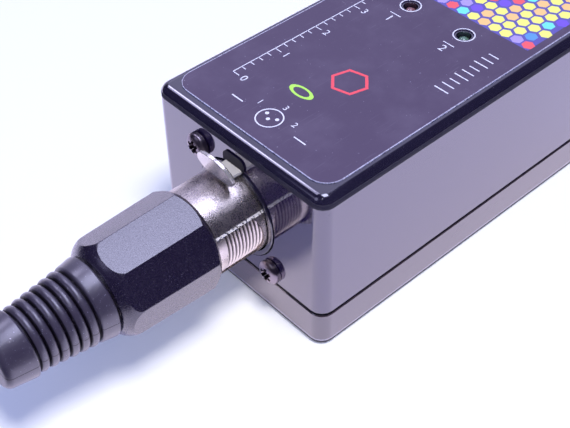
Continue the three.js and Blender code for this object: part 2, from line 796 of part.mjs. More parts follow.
function usbBlock() {
  const sideGap = usbSheet + threadGap;
  const front = usbFront - usbSheet;
  const body = block(
    [-usbWidth / 2 + sideGap, usbRear + sideGap, usbBottom + sideGap],
    [usbWidth / 2 - sideGap, front, usbTop - sideGap]);
  const halfWidth = usbMouthWidth / 2;
  const low = -usbMouthHeight / 2;
  const high = usbMouthHeight / 2;
  const shoulder = halfWidth - usbMouthChamfer;
  const mouth = new THREE.Shape([
    [-halfWidth, low], [halfWidth, low], [halfWidth, high - usbMouthChamfer], [shoulder, high],
    [-shoulder, high], [-halfWidth, high - usbMouthChamfer],
  ].map(([x, z]) => new THREE.Vector2(x, z)));
  const geometry = new THREE.ExtrudeGeometry(mouth, { depth: usbMouthDepth + overrun, bevelEnabled: false });
  geometry.rotateX(quarterTurn);
  geometry.translate(0, front + overrun, usbMiddle);
  const tongue = block(
    [-usbTongueWidth / 2, front - usbMouthDepth - overrun, usbMiddle - usbTongueHeight / 2],
    [usbTongueWidth / 2, front - usbTongueRecess, usbMiddle + usbTongueHeight / 2]);
  return join(cut(body, toSolid(geometry)), tongue);
}

function usbContact(face, side) {
  const x = side * usbContactPitch / 2;
  const near = usbMiddle + face * (usbTongueHeight / 2 + threadGap / 2);
  const far = near + face * usbContactThickness;
  return block(
    [x - usbContactWidth / 2, usbFront - usbSheet - usbMouthDepth + threadGap, Math.min(near, far)],
    [x + usbContactWidth / 2, usbFront - usbSheet - 2 * usbTongueRecess, Math.max(near, far)]);
}

// A chip body with a row of flat leads on its two long sides, or on all four.
function chip([x, y], [length, width, height], leads, allSides = false) {
  const bottom = boardTop + solderGap;
  const body = block(
    [x - width / 2, y - length / 2, bottom + chipLeadThickness / 2],
    [x + width / 2, y + length / 2, bottom + height]);
  const half = chipLeadWidth / 2;
  const legs = Array.from({ length: leads }, (_, k) => (k - (leads - 1) / 2) * chipLeadPitch)
    .flatMap((along) => [1, -1].flatMap((side) => {
      const middleX = x + side * width / 2;
      const middleY = y + side * length / 2;
      const across = [
        [middleX - chipLeadReach, y + along - half], [middleX + chipLeadReach, y + along + half]];
      const lengthwise = [
        [x + along - half, middleY - chipLeadReach], [x + along + half, middleY + chipLeadReach]];
      return allSides ? [across, lengthwise] : [across];
    }))
    .map(([low, high]) => block([...low, bottom], [...high, bottom + chipLeadThickness]));
  return join(body, legs);
}

// Parts on the board, each standing on it by its leads or its base.
function converter([x, y]) {
  const bottom = boardTop + solderGap;
  return block(
    [x - converterLength / 2, y - converterWidth / 2, bottom],
    [x + converterLength / 2, y + converterWidth / 2, bottom + converterHeight]);
}

function crystal([x, y]) {
  const bottom = boardTop + solderGap;
  return loft([bottom, bottom + crystalHeight].map((height) => roundedRing(
    crystalLength, crystalWidth, crystalWidth / 2 - threadGap, height)
    .map((point) => point.add(new THREE.Vector3(x, y, 0)))));
}

function capacitor(place) {
  const bottom = boardTop + solderGap;
  const top = bottom + capacitorHeight;
  const waist = bottom + 2 * capacitorGroove;
  return turnedUpright(
    [[0, bottom], [capacitorRadius, bottom], [capacitorRadius, waist],
      [capacitorRadius - capacitorGroove, waist + capacitorGroove],
      [capacitorRadius, waist + 2 * capacitorGroove], [capacitorRadius, top - capacitorGroove],
      [capacitorRadius - capacitorGroove, top], [0, top]], smallSides, place);
}

function resistor([x, y]) {
  const bottom = boardTop + solderGap;
  return block(
    [x - resistorLength / 2, y - resistorWidth / 2, bottom],
    [x + resistorLength / 2, y + resistorWidth / 2, bottom + resistorHeight]);
}

// A round-cornered pocket that runs inwards from one side of the plug shell: its straight
// edges lie along the axis, and it starts inside the socket and ends under the housing.
function gripPocket(side, innerReach) {
  const length = gripFront + plugNeckStart + overrun;
  const height = gripUpperEdge - gripLowerEdge;
  const middleY = gripFront - length / 2;
  const middleZ = (gripUpperEdge + gripLowerEdge) / 2;
  return loft([innerReach, plugShellRadius + overrun].map((reach) => roundedRing(
    length, height, gripCornerRadius, reach)
    .map((point) => new THREE.Vector3(side * point.z, point.x + middleY, point.y + middleZ))));
}

// Plug shell: a turned nickel barrel with a threaded neck, a latch window near its tip and
// a grip sunk into each side, ribbed on its front part.
function plugShell() {
  const shoulderEnd = plugInsertRear + seatGap;
  const neckFront = -plugNeckStart - overrun;
  const barrel = tube([
    [plugNeckBore, -plugNeckEnd], [plugNeckBore, -shoulderEnd], [plugShellBore, -shoulderEnd],
    [plugShellBore, plugShellEngagement], [plugShellRadius - seatGap, plugShellEngagement],
    [plugShellRadius, plugShellEngagement - seatGap], [plugShellRadius, -plugNeckStart],
    [plugNeckRadius, -plugNeckStart], [plugNeckRadius, -plugNeckEnd],
  ]);
  const floorRadius = plugShellRadius - gripFloorDepth;
  const crestRadius = floorRadius + gripRibHeight;
  const pitch = (gripRibsEnd - gripRibsStart) / (gripRibs - 1);
  const ribs = Array.from({ length: gripRibs }, (_, k) => {
    const crest = -gripRibsStart - k * pitch;
    return [[floorRadius, crest + pitch / 2], [crestRadius, crest]];
  }).flat().reverse();
  const core = tube([
    [plugNeckBore, neckFront], [plugNeckRadius, neckFront], [plugNeckRadius, -plugNeckStart],
    [crestRadius, -plugNeckStart], [crestRadius, -gripRibsEnd - pitch],
    [floorRadius, -gripRibsEnd - pitch / 2], ...ribs,
    [floorRadius, gripFront + overrun], [plugShellBore, gripFront + overrun],
    [plugShellBore, -shoulderEnd], [plugNeckBore, -shoulderEnd],
  ]);
  const pockets = [1, -1].map((side) => gripPocket(side, floorRadius / 2));
  const windowEnd = plugShellEngagement - latchWindowFromTip;
  const latchWindow = block(
    [-latchWindowWidth / 2, windowEnd - latchWindowLength, 0],
    [latchWindowWidth / 2, windowEnd, plugShellRadius + overrun]);
  return cut(join(cut(barrel, pockets), core), latchWindow);
}

// Plug insert: the disc that holds the three pins.
function plugInsert() {
  const holes = contactPlaces.map((place) => bar(
    'y', pinRadius + threadGap, -plugInsertRear - overrun, -plugInsertFront + overrun, place, tinySides));
  const round = bar('y', plugInsertRadius, -plugInsertRear, -plugInsertFront, [0, 0], mediumSides);
  return cut(round, holes);
}

// Plug pin: a round-nosed pin with a solder cup behind the insert.
function plugPin([x, z]) {
  const tip = pinLength - plugInsertFront;
  const cupFront = -plugInsertRear - threadGap;
  const cupRear = cupFront - solderCupLength;
  const nose = arc([0, tip - pinRadius], pinRadius, 0, quarterTurn, filletSteps / 2).slice(0, -1);
  const profile = [
    [0, cupRear + solderCupDepth], [solderCupBore, cupRear + solderCupDepth], [solderCupBore, cupRear],
    [solderCupRadius, cupRear], [solderCupRadius, cupFront], [pinRadius, cupFront], ...nose, [0, tip],
  ];
  const points = profile.map(([radius, station]) => new THREE.Vector2(radius, station));
  const geometry = new THREE.LatheGeometry(points, tinySides);
  geometry.translate(x, 0, z);
  return toSolid(geometry);
}

// Cable clamp: a slotted collet that the housing closes on the cable.
function cableClamp() {
  const collet = tube([
    [cableBoreRadius, -clampFront], [clampHeadRadius, -clampFront], [clampHeadRadius, -clampHeadEnd],
    [clampBodyRadius, -clampHeadEnd], [clampBodyRadius, -(clampHeadEnd + clampRear) / 2],
    [clampNoseRadius, -clampRear], [cableBoreRadius, -clampRear],
  ], mediumSides);
  const slots = Array.from({ length: clampSlots / 2 }, (_, k) => {
    const [across, up] = k === 0 ? [clampHeadRadius, clampSlotWidth / 2] : [clampSlotWidth / 2, clampHeadRadius];
    return block([-across, -clampRear - overrun, -up], [across, -clampHeadEnd - overrun, up]);
  });
  return cut(collet, slots);
}

// Plug housing: an eight-sided sleeve that tapers towards the cable. Its front rim and its
// rear shoulder are turned, so that each flat ends in an arch.
function plugHousing() {
  const turn = THREE.MathUtils.degToRad(housingTurn);
  const cornerAt = (station) => THREE.MathUtils.mapLinear(
    station, housingFront, housingShoulderStart, housingFrontCornerRadius, housingRearCornerRadius);
  const prism = loft([housingFront, housingRear].map((station) => Array.from(
    { length: housingSides }, (_, k) => {
      const angle = turn + fullTurn * k / housingSides;
      const radius = cornerAt(station);
      return new THREE.Vector3(radius * Math.cos(angle), -station, radius * Math.sin(angle));
    })));
  const sweep = THREE.MathUtils.degToRad(housingShoulderSweep);
  const shoulderSteps = 2 * filletSteps;
  const shoulder = Array.from({ length: shoulderSteps + 1 }, (_, k) => {
    const angle = sweep * k / shoulderSteps;
    const drop = (1 - Math.cos(angle)) / (1 - Math.cos(sweep));
    const along = Math.sin(angle) / Math.sin(sweep);
    return [
      THREE.MathUtils.lerp(housingRearCornerRadius, housingRearRadius, drop),
      -THREE.MathUtils.lerp(housingShoulderStart, housingRear, along),
    ];
  });
  const round = turned([
    [0, -housingFront], [housingRimRadius, -housingFront],
    [housingFrontCornerRadius, -housingFront - housingRimLength], ...shoulder, [0, -housingRear],
  ]);
  const bores = [
    bar('y', housingBore, -housingCavityEnd, -housingFront + overrun, [0, 0], mediumSides),
    bar('y', housingNoseBore, -housingRear - overrun, -housingCavityEnd + overrun, [0, 0], mediumSides),
  ];
  return cut(prism.intersect(round), bores);
}

// Cable boot: a flange held inside the housing, a smooth collar, round ribs and a tail.
function cableBoot() {
  const ribs = Array.from({ length: bootRibs }, (_, k) => {
    const share = k / (bootRibs - 1);
    const crest = THREE.MathUtils.lerp(bootFirstRibRadius, bootLastRibRadius, share);
    const station = bootFirstRib + bootRibPitch * k;
    return Array.from({ length: filletSteps + 1 }, (__, j) => {
      const angle = halfTurn * j / filletSteps;
      return [
        crest - bootGrooveDepth * (1 - Math.sin(angle)),
        -station + bootRibWidth / 2 * Math.cos(angle),
      ];
    });
  }).flat();
  const edgeSteps = filletSteps / 2;
  const flangeRear = bootFlangeFront + bootFlangeThickness;
  const frontEdge = arc(
    [bootCollarRadius - bootEdgeRadius, -bootCollarFront - bootEdgeRadius], bootEdgeRadius,
    quarterTurn, 0, edgeSteps);
  const rearEdge = arc(
    [bootCollarRearRadius - bootEdgeRadius, -bootCollarRear + bootEdgeRadius], bootEdgeRadius,
    0, -quarterTurn, edgeSteps);
  const tailEdge = arc(
    [bootTailRadius - bootEdgeRadius, -bootTailFront - bootEdgeRadius], bootEdgeRadius,
    quarterTurn, 0, edgeSteps);
  const endEdge = arc(
    [bootTailRearRadius - bootEndRadius, -bootTailRear + bootEndRadius], bootEndRadius,
    0, -quarterTurn, filletSteps);
  const firstGroove = bootFirstRibRadius - bootGrooveDepth;
  const lastGroove = bootLastRibRadius - bootGrooveDepth;
  return tube([
    [cableBoreRadius, -bootFlangeFront], [bootFlangeRadius, -bootFlangeFront],
    [bootFlangeRadius, -flangeRear], [bootNeckRadius, -flangeRear], [bootNeckRadius, -bootCollarFront],
    ...frontEdge, ...rearEdge, [firstGroove, -bootCollarRear], ...ribs, [lastGroove, -bootTailFront],
    ...tailEdge, ...endEdge, [cableBoreRadius, -bootTailRear],
  ], bootSides);
}

piece('upper_shell', upperShell(), 'glossPlastic');
piece('base_lid', baseLid(), 'glossPlastic');
piece('top_label', topLabel(), 'label');

const caseScrew = panScrew(
  [caseScrewHeadRadius, caseScrewHeadHeight], [caseScrewRadius, caseScrewLength],
  screwSides, screwDomeSteps);
caseScrewPlaces.forEach(([x, y], i) => {
  const screw = piece(`case_screw_${i + 1}`, caseScrew, 'zincSteel');
  screw.rotation.x = quarterTurn;
  screw.position.set(x, y, counterboreDepth - solderGap);
});

const boardScrew = panScrew(
  [boardScrewHeadRadius, boardScrewHeadHeight], [boardScrewRadius, boardScrewLength],
  screwSides, screwDomeSteps);
boardScrewPlaces.forEach(([x, y], i) => {
  const screw = piece(`board_screw_${i + 1}`, boardScrew, 'zincSteel');
  screw.rotation.x = -quarterTurn;
  screw.position.set(x, y, boardTop + solderGap);
});

const socketScrew = panScrew(
  [socketScrewHeadRadius, socketScrewHeadHeight], [socketScrewRadius, socketScrewLength],
  smallSides, filletSteps);
[1, -1].forEach((side, i) => {
  const screw = piece(`socket_screw_${i + 1}`, socketScrew, 'blackSteel', socketFrame);
  screw.position.set(-side * socketScrewOffset, -solderGap, side * socketScrewOffset);
});

piece('socket_body', socketBody(), 'blackPlastic', socketFrame);
piece('socket_insert', socketInsert(), 'insulator', socketFrame);
contactPlaces.forEach((place, i) => {
  piece(`socket_contact_${i + 1}`, socketContact(place), 'silver', socketFrame);
});
piece('latch_lever', latchLever(), 'nickel', socketFrame);
piece('latch_pivot_pin', bar(
  'x', pivotRadius, -pivotPinLength / 2, pivotPinLength / 2, [pivotDepth, pivotHeight], tinySides),
'zincSteel', socketFrame);
piece('latch_spring', latchSpring(), 'springSteel', socketFrame);

piece('circuit_board', circuitBoard(), 'boardGreen');
piece('usb_socket_shell', usbShell(), 'zincSteel');
piece('usb_socket_block', usbBlock(), 'insulator');
[[1, 1], [1, -1], [-1, -1], [-1, 1]].forEach(([face, side], i) => {
  piece(`usb_contact_${i + 1}`, usbContact(face, side), 'brass');
});
piece('lamp_power', lamp(lampPlaces.power), 'redLamp');
piece('lamp_link', lamp(lampPlaces.link), 'greenLamp');

// Places on the board as shares of its half width and of the half length of the box.
const boardPlace = (acrossShare, alongShare) => [
  acrossShare * boardWidth / 2, alongShare * boxLength / 2];
const partPlaceShares = {
  controller: [-0.3, 0.42],
  isolator: [0.35, 0.42],
  driver: [0, -0.36],
  converter: [0, 0.02],
  crystal: [-0.3, 0.6],
  capacitor: [0.62, -0.2],
};
const resistorPlaceShares = [[-0.62, -0.12], [-0.62, -0.2], [-0.62, -0.28], [0.35, 0.6], [0.62, 0.25]];
piece('controller_chip', chip(
  boardPlace(...partPlaceShares.controller), [controllerSize, controllerSize, controllerHeight],
  controllerLeads, true), 'chipBlack');
piece('isolator_chip', chip(
  boardPlace(...partPlaceShares.isolator), [isolatorLength, isolatorWidth, isolatorHeight],
  isolatorLeads), 'chipBlack');
piece('line_driver_chip', chip(
  boardPlace(...partPlaceShares.driver), [driverLength, driverWidth, driverHeight],
  driverLeads), 'chipBlack');
piece('isolated_converter', converter(boardPlace(...partPlaceShares.converter)), 'chipBlack');
piece('crystal', crystal(boardPlace(...partPlaceShares.crystal)), 'zincSteel');
piece('capacitor', capacitor(boardPlace(...partPlaceShares.capacitor)), 'capacitorSleeve');
resistorPlaceShares.forEach((shares, i) => {
  piece(`resistor_${i + 1}`, resistor(boardPlace(...shares)), 'insulator');
});

piece('plug_shell', plugShell(), 'nickel', socketFrame);
piece('plug_insert', plugInsert(), 'insulator', socketFrame);
contactPlaces.forEach((place, i) => {
  piece(`plug_pin_${i + 1}`, plugPin(place), 'silver', socketFrame);
});
piece('cable_clamp', cableClamp(), 'insulator', socketFrame);
piece('plug_housing', plugHousing(), 'blackPlastic', socketFrame);
piece('cable_boot', cableBoot(), 'rubber', socketFrame);

export default group;
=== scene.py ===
import json
import math

import bmesh
import bpy
from mathutils import Matrix, Vector

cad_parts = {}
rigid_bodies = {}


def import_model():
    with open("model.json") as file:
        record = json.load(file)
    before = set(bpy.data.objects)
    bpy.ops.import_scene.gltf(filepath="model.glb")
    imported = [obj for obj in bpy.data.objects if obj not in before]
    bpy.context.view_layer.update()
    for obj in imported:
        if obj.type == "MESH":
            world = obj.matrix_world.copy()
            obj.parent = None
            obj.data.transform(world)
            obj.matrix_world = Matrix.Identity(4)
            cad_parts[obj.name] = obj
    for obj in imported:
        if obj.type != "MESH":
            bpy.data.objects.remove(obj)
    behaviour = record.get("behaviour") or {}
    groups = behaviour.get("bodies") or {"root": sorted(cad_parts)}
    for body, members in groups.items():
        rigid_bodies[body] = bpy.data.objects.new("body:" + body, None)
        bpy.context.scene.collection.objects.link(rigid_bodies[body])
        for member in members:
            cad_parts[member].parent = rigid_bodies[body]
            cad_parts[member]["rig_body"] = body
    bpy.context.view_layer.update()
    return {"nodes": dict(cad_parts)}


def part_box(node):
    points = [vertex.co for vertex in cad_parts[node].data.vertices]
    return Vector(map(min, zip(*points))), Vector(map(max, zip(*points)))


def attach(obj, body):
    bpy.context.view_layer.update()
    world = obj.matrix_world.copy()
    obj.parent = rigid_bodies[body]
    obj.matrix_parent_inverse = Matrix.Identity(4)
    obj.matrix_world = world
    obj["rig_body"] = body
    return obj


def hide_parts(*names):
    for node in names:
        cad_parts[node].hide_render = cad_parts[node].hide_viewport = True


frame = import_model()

# Studio: the photograph's camera, a pale floor that keeps the soft shadow, two lamps for the
# even light, and four lamps and a dark canopy with pale panels that only reflections see, as
# black cards and strip lamps stand round glossy goods.
MM = 0.001
scene = bpy.context.scene
scene.view_settings.view_transform = "Standard"

sensor_width = 36
focal_pixels = 1094.178
frame_pixels = 570
camera_data = bpy.data.cameras.new("camera")
camera_data.sensor_width = sensor_width
camera_data.lens = sensor_width * focal_pixels / frame_pixels
camera_data.clip_start = 0.01
camera_data.clip_end = 20
camera = bpy.data.objects.new("camera", camera_data)
across = Vector((0.673863, 0.738706, -0.014874))
upward = Vector((-0.507563, 0.477451, 0.717231))
ahead = Vector((-0.536924, 0.475766, -0.696677))
camera_spot = Vector((124.651, -147.554, 173.813)) * MM
camera.matrix_world = Matrix.Translation(camera_spot) @ Matrix(
    (across, upward, -ahead)).transposed().to_4x4()
scene.collection.objects.link(camera)
scene.camera = camera


lamp_aim = Vector((0, -40 * MM, 20 * MM))


def soft_lamp(name, towards, distance, width, depth, watts, colour):
    """A soft box that faces the plug from a direction, with its sizes in metres."""
    data = bpy.data.lights.new(name, "AREA")
    data.shape = "RECTANGLE"
    data.size = width
    data.size_y = depth
    data.energy = watts
    data.color = colour
    lamp = bpy.data.objects.new(name, data)
    direction = Vector(towards).normalized()
    lamp.matrix_world = Matrix.Translation(lamp_aim + direction * distance) @ (
        direction.to_track_quat("Z", "Y").to_matrix().to_4x4())
    scene.collection.objects.link(lamp)
    return lamp


reflected_lamps = {
    "soft_box": ((0.03, 0.20, 0.98), 1.1, 0.62, 0.56, 6.1, (0.68, 0.69, 1.0)),
    "edge_lamp": ((-0.60, -0.01, 0.80), 1.0, 0.42, 0.24, 0.84, (0.66, 0.63, 1.0)),
    "line_lamp": ((-0.61, 0.05, 0.79), 1.0, 0.07, 0.24, 0.36, (0.80, 0.78, 1.0)),
    "star_lamp": ((0.30, -0.36, 0.88), 1.0, 0.06, 0.06, 0.2, (0.85, 0.85, 1.0)),
}
even_lamps = {
    "front_fill": ((0.35, -0.75, 0.56), 1.3, 0.5, 0.5, 2.2, (1.0, 0.96, 1.0)),
    "level_lamp": ((0.30, -0.05, 0.95), 1.1, 0.28, 0.28, 11.3, (1.0, 0.98, 0.96)),
}
for name, lamp in reflected_lamps.items():
    soft_lamp(name, *lamp).visible_diffuse = False
for name, lamp in even_lamps.items():
    soft_lamp(name, *lamp).visible_glossy = False


class Signal:
    """A node's socket that takes part in Python sums; each operator adds its Math node."""

    def __init__(self, socket):
        self.socket = socket

    def node(self, kind, settings=None, sockets=None, output=0):
        """Adds a node to this socket's tree: its settings first, then values or links. A list
        links several signals to a socket that takes many."""
        tree = self.socket.id_data
        made = tree.nodes.new(kind)
        for name, value in (settings or {}).items():
            setattr(made, name, value)
        for key, given in (sockets or {}).items():
            for value in given if isinstance(given, list) else [given]:
                if isinstance(value, Signal):
                    tree.links.new(value.socket, made.inputs[key])
                else:
                    made.inputs[key].default_value = value
        return Signal(made.outputs[output])

    def maths(self, operation, *others):
        """A Math node on this and the others."""
        return self.node(
            "ShaderNodeMath", {"operation": operation}, dict(enumerate((self, *others))))

    def __add__(self, other):
        return self.maths("ADD", other)

    def __radd__(self, other):
        return self.maths("ADD", other)

    def __mul__(self, other):
        return self.maths("MULTIPLY", other)

    def __rmul__(self, other):
        return self.maths("MULTIPLY", other)

    def __sub__(self, other):
        return self.maths("SUBTRACT", other)

    def __rsub__(self, other):
        return (self * -1) + other

    def __pow__(self, other):
        return self.maths("POWER", other)

    def __abs__(self):
        return self.maths("ABSOLUTE")

    def most(self, other):
        """The greater of the two."""
        return self.maths("MAXIMUM", other)

    def along(self, axis):
        """One coordinate of a place: 0 for x, 1 for y and 2 for z."""
        return self.node("ShaderNodeSeparateXYZ", None, {0: self}, output=axis)

    def clear(self):
        """Held between 0 and 1."""
        return self.node("ShaderNodeClamp", None, {0: self})

    def fade(self, low, high):
        """0 below low, 1 above high, eased between."""
        return self.node("ShaderNodeMapRange", {"interpolation_type": "SMOOTHSTEP"},
                         {0: self, 1: low, 2: high, 3: 0.0, 4: 1.0})

    def between(self, first, second):
        """The first colour where this is 0 and the second where it is 1."""
        first, second = [c if isinstance(c, Signal) else (*c, 1) for c in (first, second)]
        return self.node("ShaderNodeMix", {"data_type": "RGBA", "clamp_factor": True},
                         {0: self, 6: first, 7: second}, output=2)

    def grain(self, size, detail=2.0, roughness=0.5):
        """Noise whose lumps are about that size, in metres, from a place."""
        return self.node("ShaderNodeTexNoise", None, {
            "Vector": self, "Scale": 1 / size, "Detail": detail, "Roughness": roughness})

    def scaled(self, x, y, z):
        """A place stretched along its axes."""
        return self.node(
            "ShaderNodeVectorMath", {"operation": "MULTIPLY"}, {0: self, 1: (x, y, z)})

    def bump(self, depth, strength):
        """A normal for the shader from a height of that depth in metres."""
        return self.node("ShaderNodeBump", None, {
            "Strength": strength, "Distance": depth, "Height": self})


def seen_rays(nodes):
    """Two masks: 1 on rays that show a thing straight, mirrored or through glass, and 1 on
    mirrored rays alone."""
    path = nodes.new("ShaderNodeLightPath")
    mirrored = Signal(path.outputs["Is Glossy Ray"])
    straight = Signal(path.outputs["Is Camera Ray"])
    through = Signal(path.outputs["Is Transmission Ray"])
    return straight.most(mirrored).most(through), mirrored


world = bpy.data.worlds.new("studio_air")
world.use_nodes = True
scene.world = world
air_seen, _ = seen_rays(world.node_tree.nodes)
air_colour = air_seen.between((0.18, 0.26, 0.70), (1.0, 1.0, 1.0))
world.node_tree.links.new(
    air_colour.socket, world.node_tree.nodes["Background"].inputs["Color"])

floor_reach = 3.0
floor_level = -0.0001
floor_mesh = bpy.data.meshes.new("floor")
floor_mesh.from_pydata(
    [(x * floor_reach, y * floor_reach, floor_level)
     for x, y in ((-1, -1), (1, -1), (1, 1), (-1, 1))], [], [(0, 1, 2, 3)])
floor = bpy.data.objects.new("floor", floor_mesh)
scene.collection.objects.link(floor)
floor_paper = bpy.data.materials.new("floor_paper")
floor_paper.use_nodes = True
floor_nodes = floor_paper.node_tree.nodes
floor_nodes.remove(floor_nodes["Principled BSDF"])
floor_seen, mirrored = seen_rays(floor_nodes)
paper = floor_seen.node("ShaderNodeBsdfDiffuse", None, {
    "Color": mirrored.between((0.94, 0.94, 0.94), (0.95, 0.85, 0.96))})
paper_glow = floor_seen.node("ShaderNodeEmission", None, {
    "Color": mirrored.between((1, 1, 1), (1.0, 0.90, 1.0)), "Strength": 1.0})
floor_place = Signal(floor_nodes.new("ShaderNodeTexCoord").outputs["Object"])
floor_x, floor_y = floor_place.along(0), floor_place.along(1)
far_paper = abs(floor_x).most(abs(floor_y)).fade(0.13, 0.36)
paper_mix = floor_seen.node("ShaderNodeMixShader", None, {
    0: floor_seen * (far_paper * 0.8 + 0.18), 1: paper, 2: paper_glow})
black_cards = floor_x.fade(82 * MM, 105 * MM)
black_cards = black_cards.most(floor_y.fade(80 * MM, 99 * MM))
black_cards = black_cards.most((floor_y * -1).fade(104 * MM, 134 * MM))
card = floor_seen.node("ShaderNodeEmission", None, {
    "Color": (0.012, 0.009, 0.024, 1), "Strength": 1.0})
floor_mix = floor_seen.node("ShaderNodeMixShader", None, {
    0: black_cards * mirrored, 1: paper_mix, 2: card})
floor_paper.node_tree.links.new(
    floor_mix.socket, floor_nodes["Material Output"].inputs["Surface"])
floor_mesh.materials.append(floor_paper)

canopy_radius = 2.6
canopy_rings = 12
canopy_sides = 48
canopy_rim = math.radians(0.3)
canopy_points = []
for ring in range(canopy_rings):
    tilt = canopy_rim + (math.pi / 2 - canopy_rim) * ring / canopy_rings
    ring_radius = canopy_radius * math.cos(tilt)
    for side in range(canopy_sides):
        turn = 2 * math.pi * side / canopy_sides
        canopy_points.append((
            ring_radius * math.cos(turn), ring_radius * math.sin(turn),
            canopy_radius * math.sin(tilt)))
canopy_faces = [
    (ring * canopy_sides + side, ring * canopy_sides + (side + 1) % canopy_sides,
     (ring + 1) * canopy_sides + (side + 1) % canopy_sides, (ring + 1) * canopy_sides + side)
    for ring in range(canopy_rings - 1) for side in range(canopy_sides)]
canopy_faces.append(tuple(range((canopy_rings - 1) * canopy_sides, canopy_rings * canopy_sides)))
canopy_mesh = bpy.data.meshes.new("canopy")
canopy_mesh.from_pydata(canopy_points, [], canopy_faces)
canopy = bpy.data.objects.new("canopy", canopy_mesh)
scene.collection.objects.link(canopy)
canopy_cloth = bpy.data.materials.new("canopy_cloth")
canopy_cloth.use_nodes = True
canopy_nodes = canopy_cloth.node_tree.nodes
canopy_nodes.remove(canopy_nodes["Principled BSDF"])
canopy_point = Signal(canopy_nodes.new("ShaderNodeTexCoord").outputs["Object"])
canopy_place = canopy_point.node(
    "ShaderNodeVectorMath", {"operation": "NORMALIZE"}, {0: canopy_point})
pale_panels = [
    ((-0.513, 0.430, 0.743), 0.84, 0.95, 0.62), ((-0.90, 0.43, 0.05), 0.78, 0.95, 0.46),
    ((-0.284, -0.779, 0.559), 0.955, 0.988, 0.75)]
panel_light = sum(
    canopy_place.node("ShaderNodeVectorMath", {"operation": "DOT_PRODUCT"}, {
        0: canopy_place, 1: direction}, output=1).fade(outer_cosine, inner_cosine) * strength
    for direction, outer_cosine, inner_cosine, strength in pale_panels)
canopy_glow = canopy_place.node("ShaderNodeEmission", None, {
    "Color": panel_light.clear().between((0.012, 0.009, 0.026), (0.64, 0.62, 1.0)),
    "Strength": 1.2})
canopy_cloth.node_tree.links.new(
    canopy_glow.socket, canopy_nodes["Material Output"].inputs["Surface"])
canopy_mesh.materials.append(canopy_cloth)
for kind in ("camera", "diffuse", "transmission", "volume_scatter", "shadow"):
    setattr(canopy, "visible_" + kind, False)


# Upper shell: a deep shell moulded in glossy black plastic that mirrors what stands round it,
# with rounded top edges over a matt band of painted shade, and flat sides painted a lighter
# violet as painted light. Moulding leaves a faint ripple, and handling fine hairlines and dust.
def new_finish(name, **plain):
    """A material, its shader with the plain sockets set, and the place on the piece."""
    made = bpy.data.materials.new(name)
    made.use_nodes = True
    tree = made.node_tree
    shader = tree.nodes["Principled BSDF"]
    for socket, value in plain.items():
        shader.inputs[socket.replace("_", " ")].default_value = value
    place = Signal(tree.nodes.new("ShaderNodeTexCoord").outputs["Object"])
    return made, shader, place


def varied(shader, **signals):
    """Links what changes over the surface to the shader's sockets."""
    for socket, signal in signals.items():
        shader.id_data.links.new(signal.socket, shader.inputs[socket.replace("_", " ")])


def eased(form, corner):
    """Shades round forms smooth and keeps edges sharper than that many degrees crisp."""
    for face in form.faces:
        face.smooth = True
    for seam in form.edges:
        seam.smooth = not (seam.is_manifold and seam.calc_face_angle(0) > math.radians(corner))


def dressed(name, node, finish, slot, edge=0.12, corner=32, levels=2, moved=None, added=None):
    """A welded copy of a CAD solid that stands for it: coplanar faces joined, sharp edges broken
    by that many millimetres, and round forms shaded smooth. A level given as moved, an old and
    a new height in millimetres, is shifted on the copy. A form given as added is joined to it."""
    body = frame["nodes"][node]["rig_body"]
    mesh = frame["nodes"][node].data.copy()
    mesh.name = name
    form = bmesh.new()
    form.from_mesh(mesh)
    bmesh.ops.remove_doubles(form, verts=form.verts, dist=0.002 * MM)
    bmesh.ops.dissolve_limit(
        form, angle_limit=math.radians(0.3), verts=form.verts, edges=form.edges)
    for point in form.verts:
        if moved and abs(point.co.z - moved[0] * MM) < 0.04 * MM:
            point.co.z = moved[1] * MM
    eased(form, corner)
    form.to_mesh(mesh)
    form.free()
    mesh.materials.clear()
    mesh.materials.append(finish)
    carrier = bpy.data.objects.new(name, mesh)
    scene.collection.objects.link(carrier)
    if added:
        join = carrier.modifiers.new("join", "BOOLEAN")
        join.operation = "UNION"
        join.object = added
    if edge:
        bevel = carrier.modifiers.new("edge", "BEVEL")
        bevel.width = edge * MM
        bevel.segments = levels
        bevel.limit_method = "ANGLE"
        bevel.angle_limit = math.radians(corner)
        bevel.use_clamp_overlap = True
        bevel.harden_normals = False
    weigh = carrier.modifiers.new("weigh", "WEIGHTED_NORMAL")
    weigh.keep_sharp = True
    weigh.weight = 80
    return settled(carrier, name, body, slot, node)


def settled(carrier, name, body, slot, *nodes):
    """The carrier with its modifiers made plain mesh, riding on its body."""
    bpy.context.view_layer.update()
    seen_by = carrier.evaluated_get(bpy.context.evaluated_depsgraph_get())
    plain = bpy.data.meshes.new_from_object(seen_by)
    plain.name = name
    bpy.data.objects.remove(carrier)
    piece = bpy.data.objects.new(name, plain)
    scene.collection.objects.link(piece)
    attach(piece, body)
    if nodes:
        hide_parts(*nodes)
    return piece


def moulded(name, colour, rough, ior, coat=1.0, haze=None):
    """Glossy moulded plastic: ripple from the mould, hairlines, dust and faint smears. A colour
    given as haze, with a function of the place, is painted over the tone where the function is 1,
    as painted light."""
    made, shader, place = new_finish(
        name, IOR=ior, Coat_Weight=coat, Coat_IOR=1.8, Coat_Roughness=0.04)
    ripple = place.grain(7 * MM, 2.0)
    smear = place.grain(11 * MM, 4.0, 0.6).fade(0.45, 0.75)
    hairs = place.scaled(1, 0.03, 1).grain(0.4 * MM, 3.0).fade(0.63, 0.67)
    dust = place.grain(0.35 * MM, 1.0).fade(0.78, 0.83)
    tone = (smear * 0.25).between(colour, [c * 1.5 for c in colour])
    if haze:
        tone = haze[0](place).between(tone, haze[1])
    varied(shader,
           Base_Color=(dust * 0.5).between(tone, (0.30, 0.28, 0.36)),
           Roughness=(smear * 0.10 + hairs * 0.12 + rough).clear(),
           Normal=(ripple * 0.6 + hairs * -0.02 + dust * 0.03).bump(0.02 * MM, 0.5))
    return made


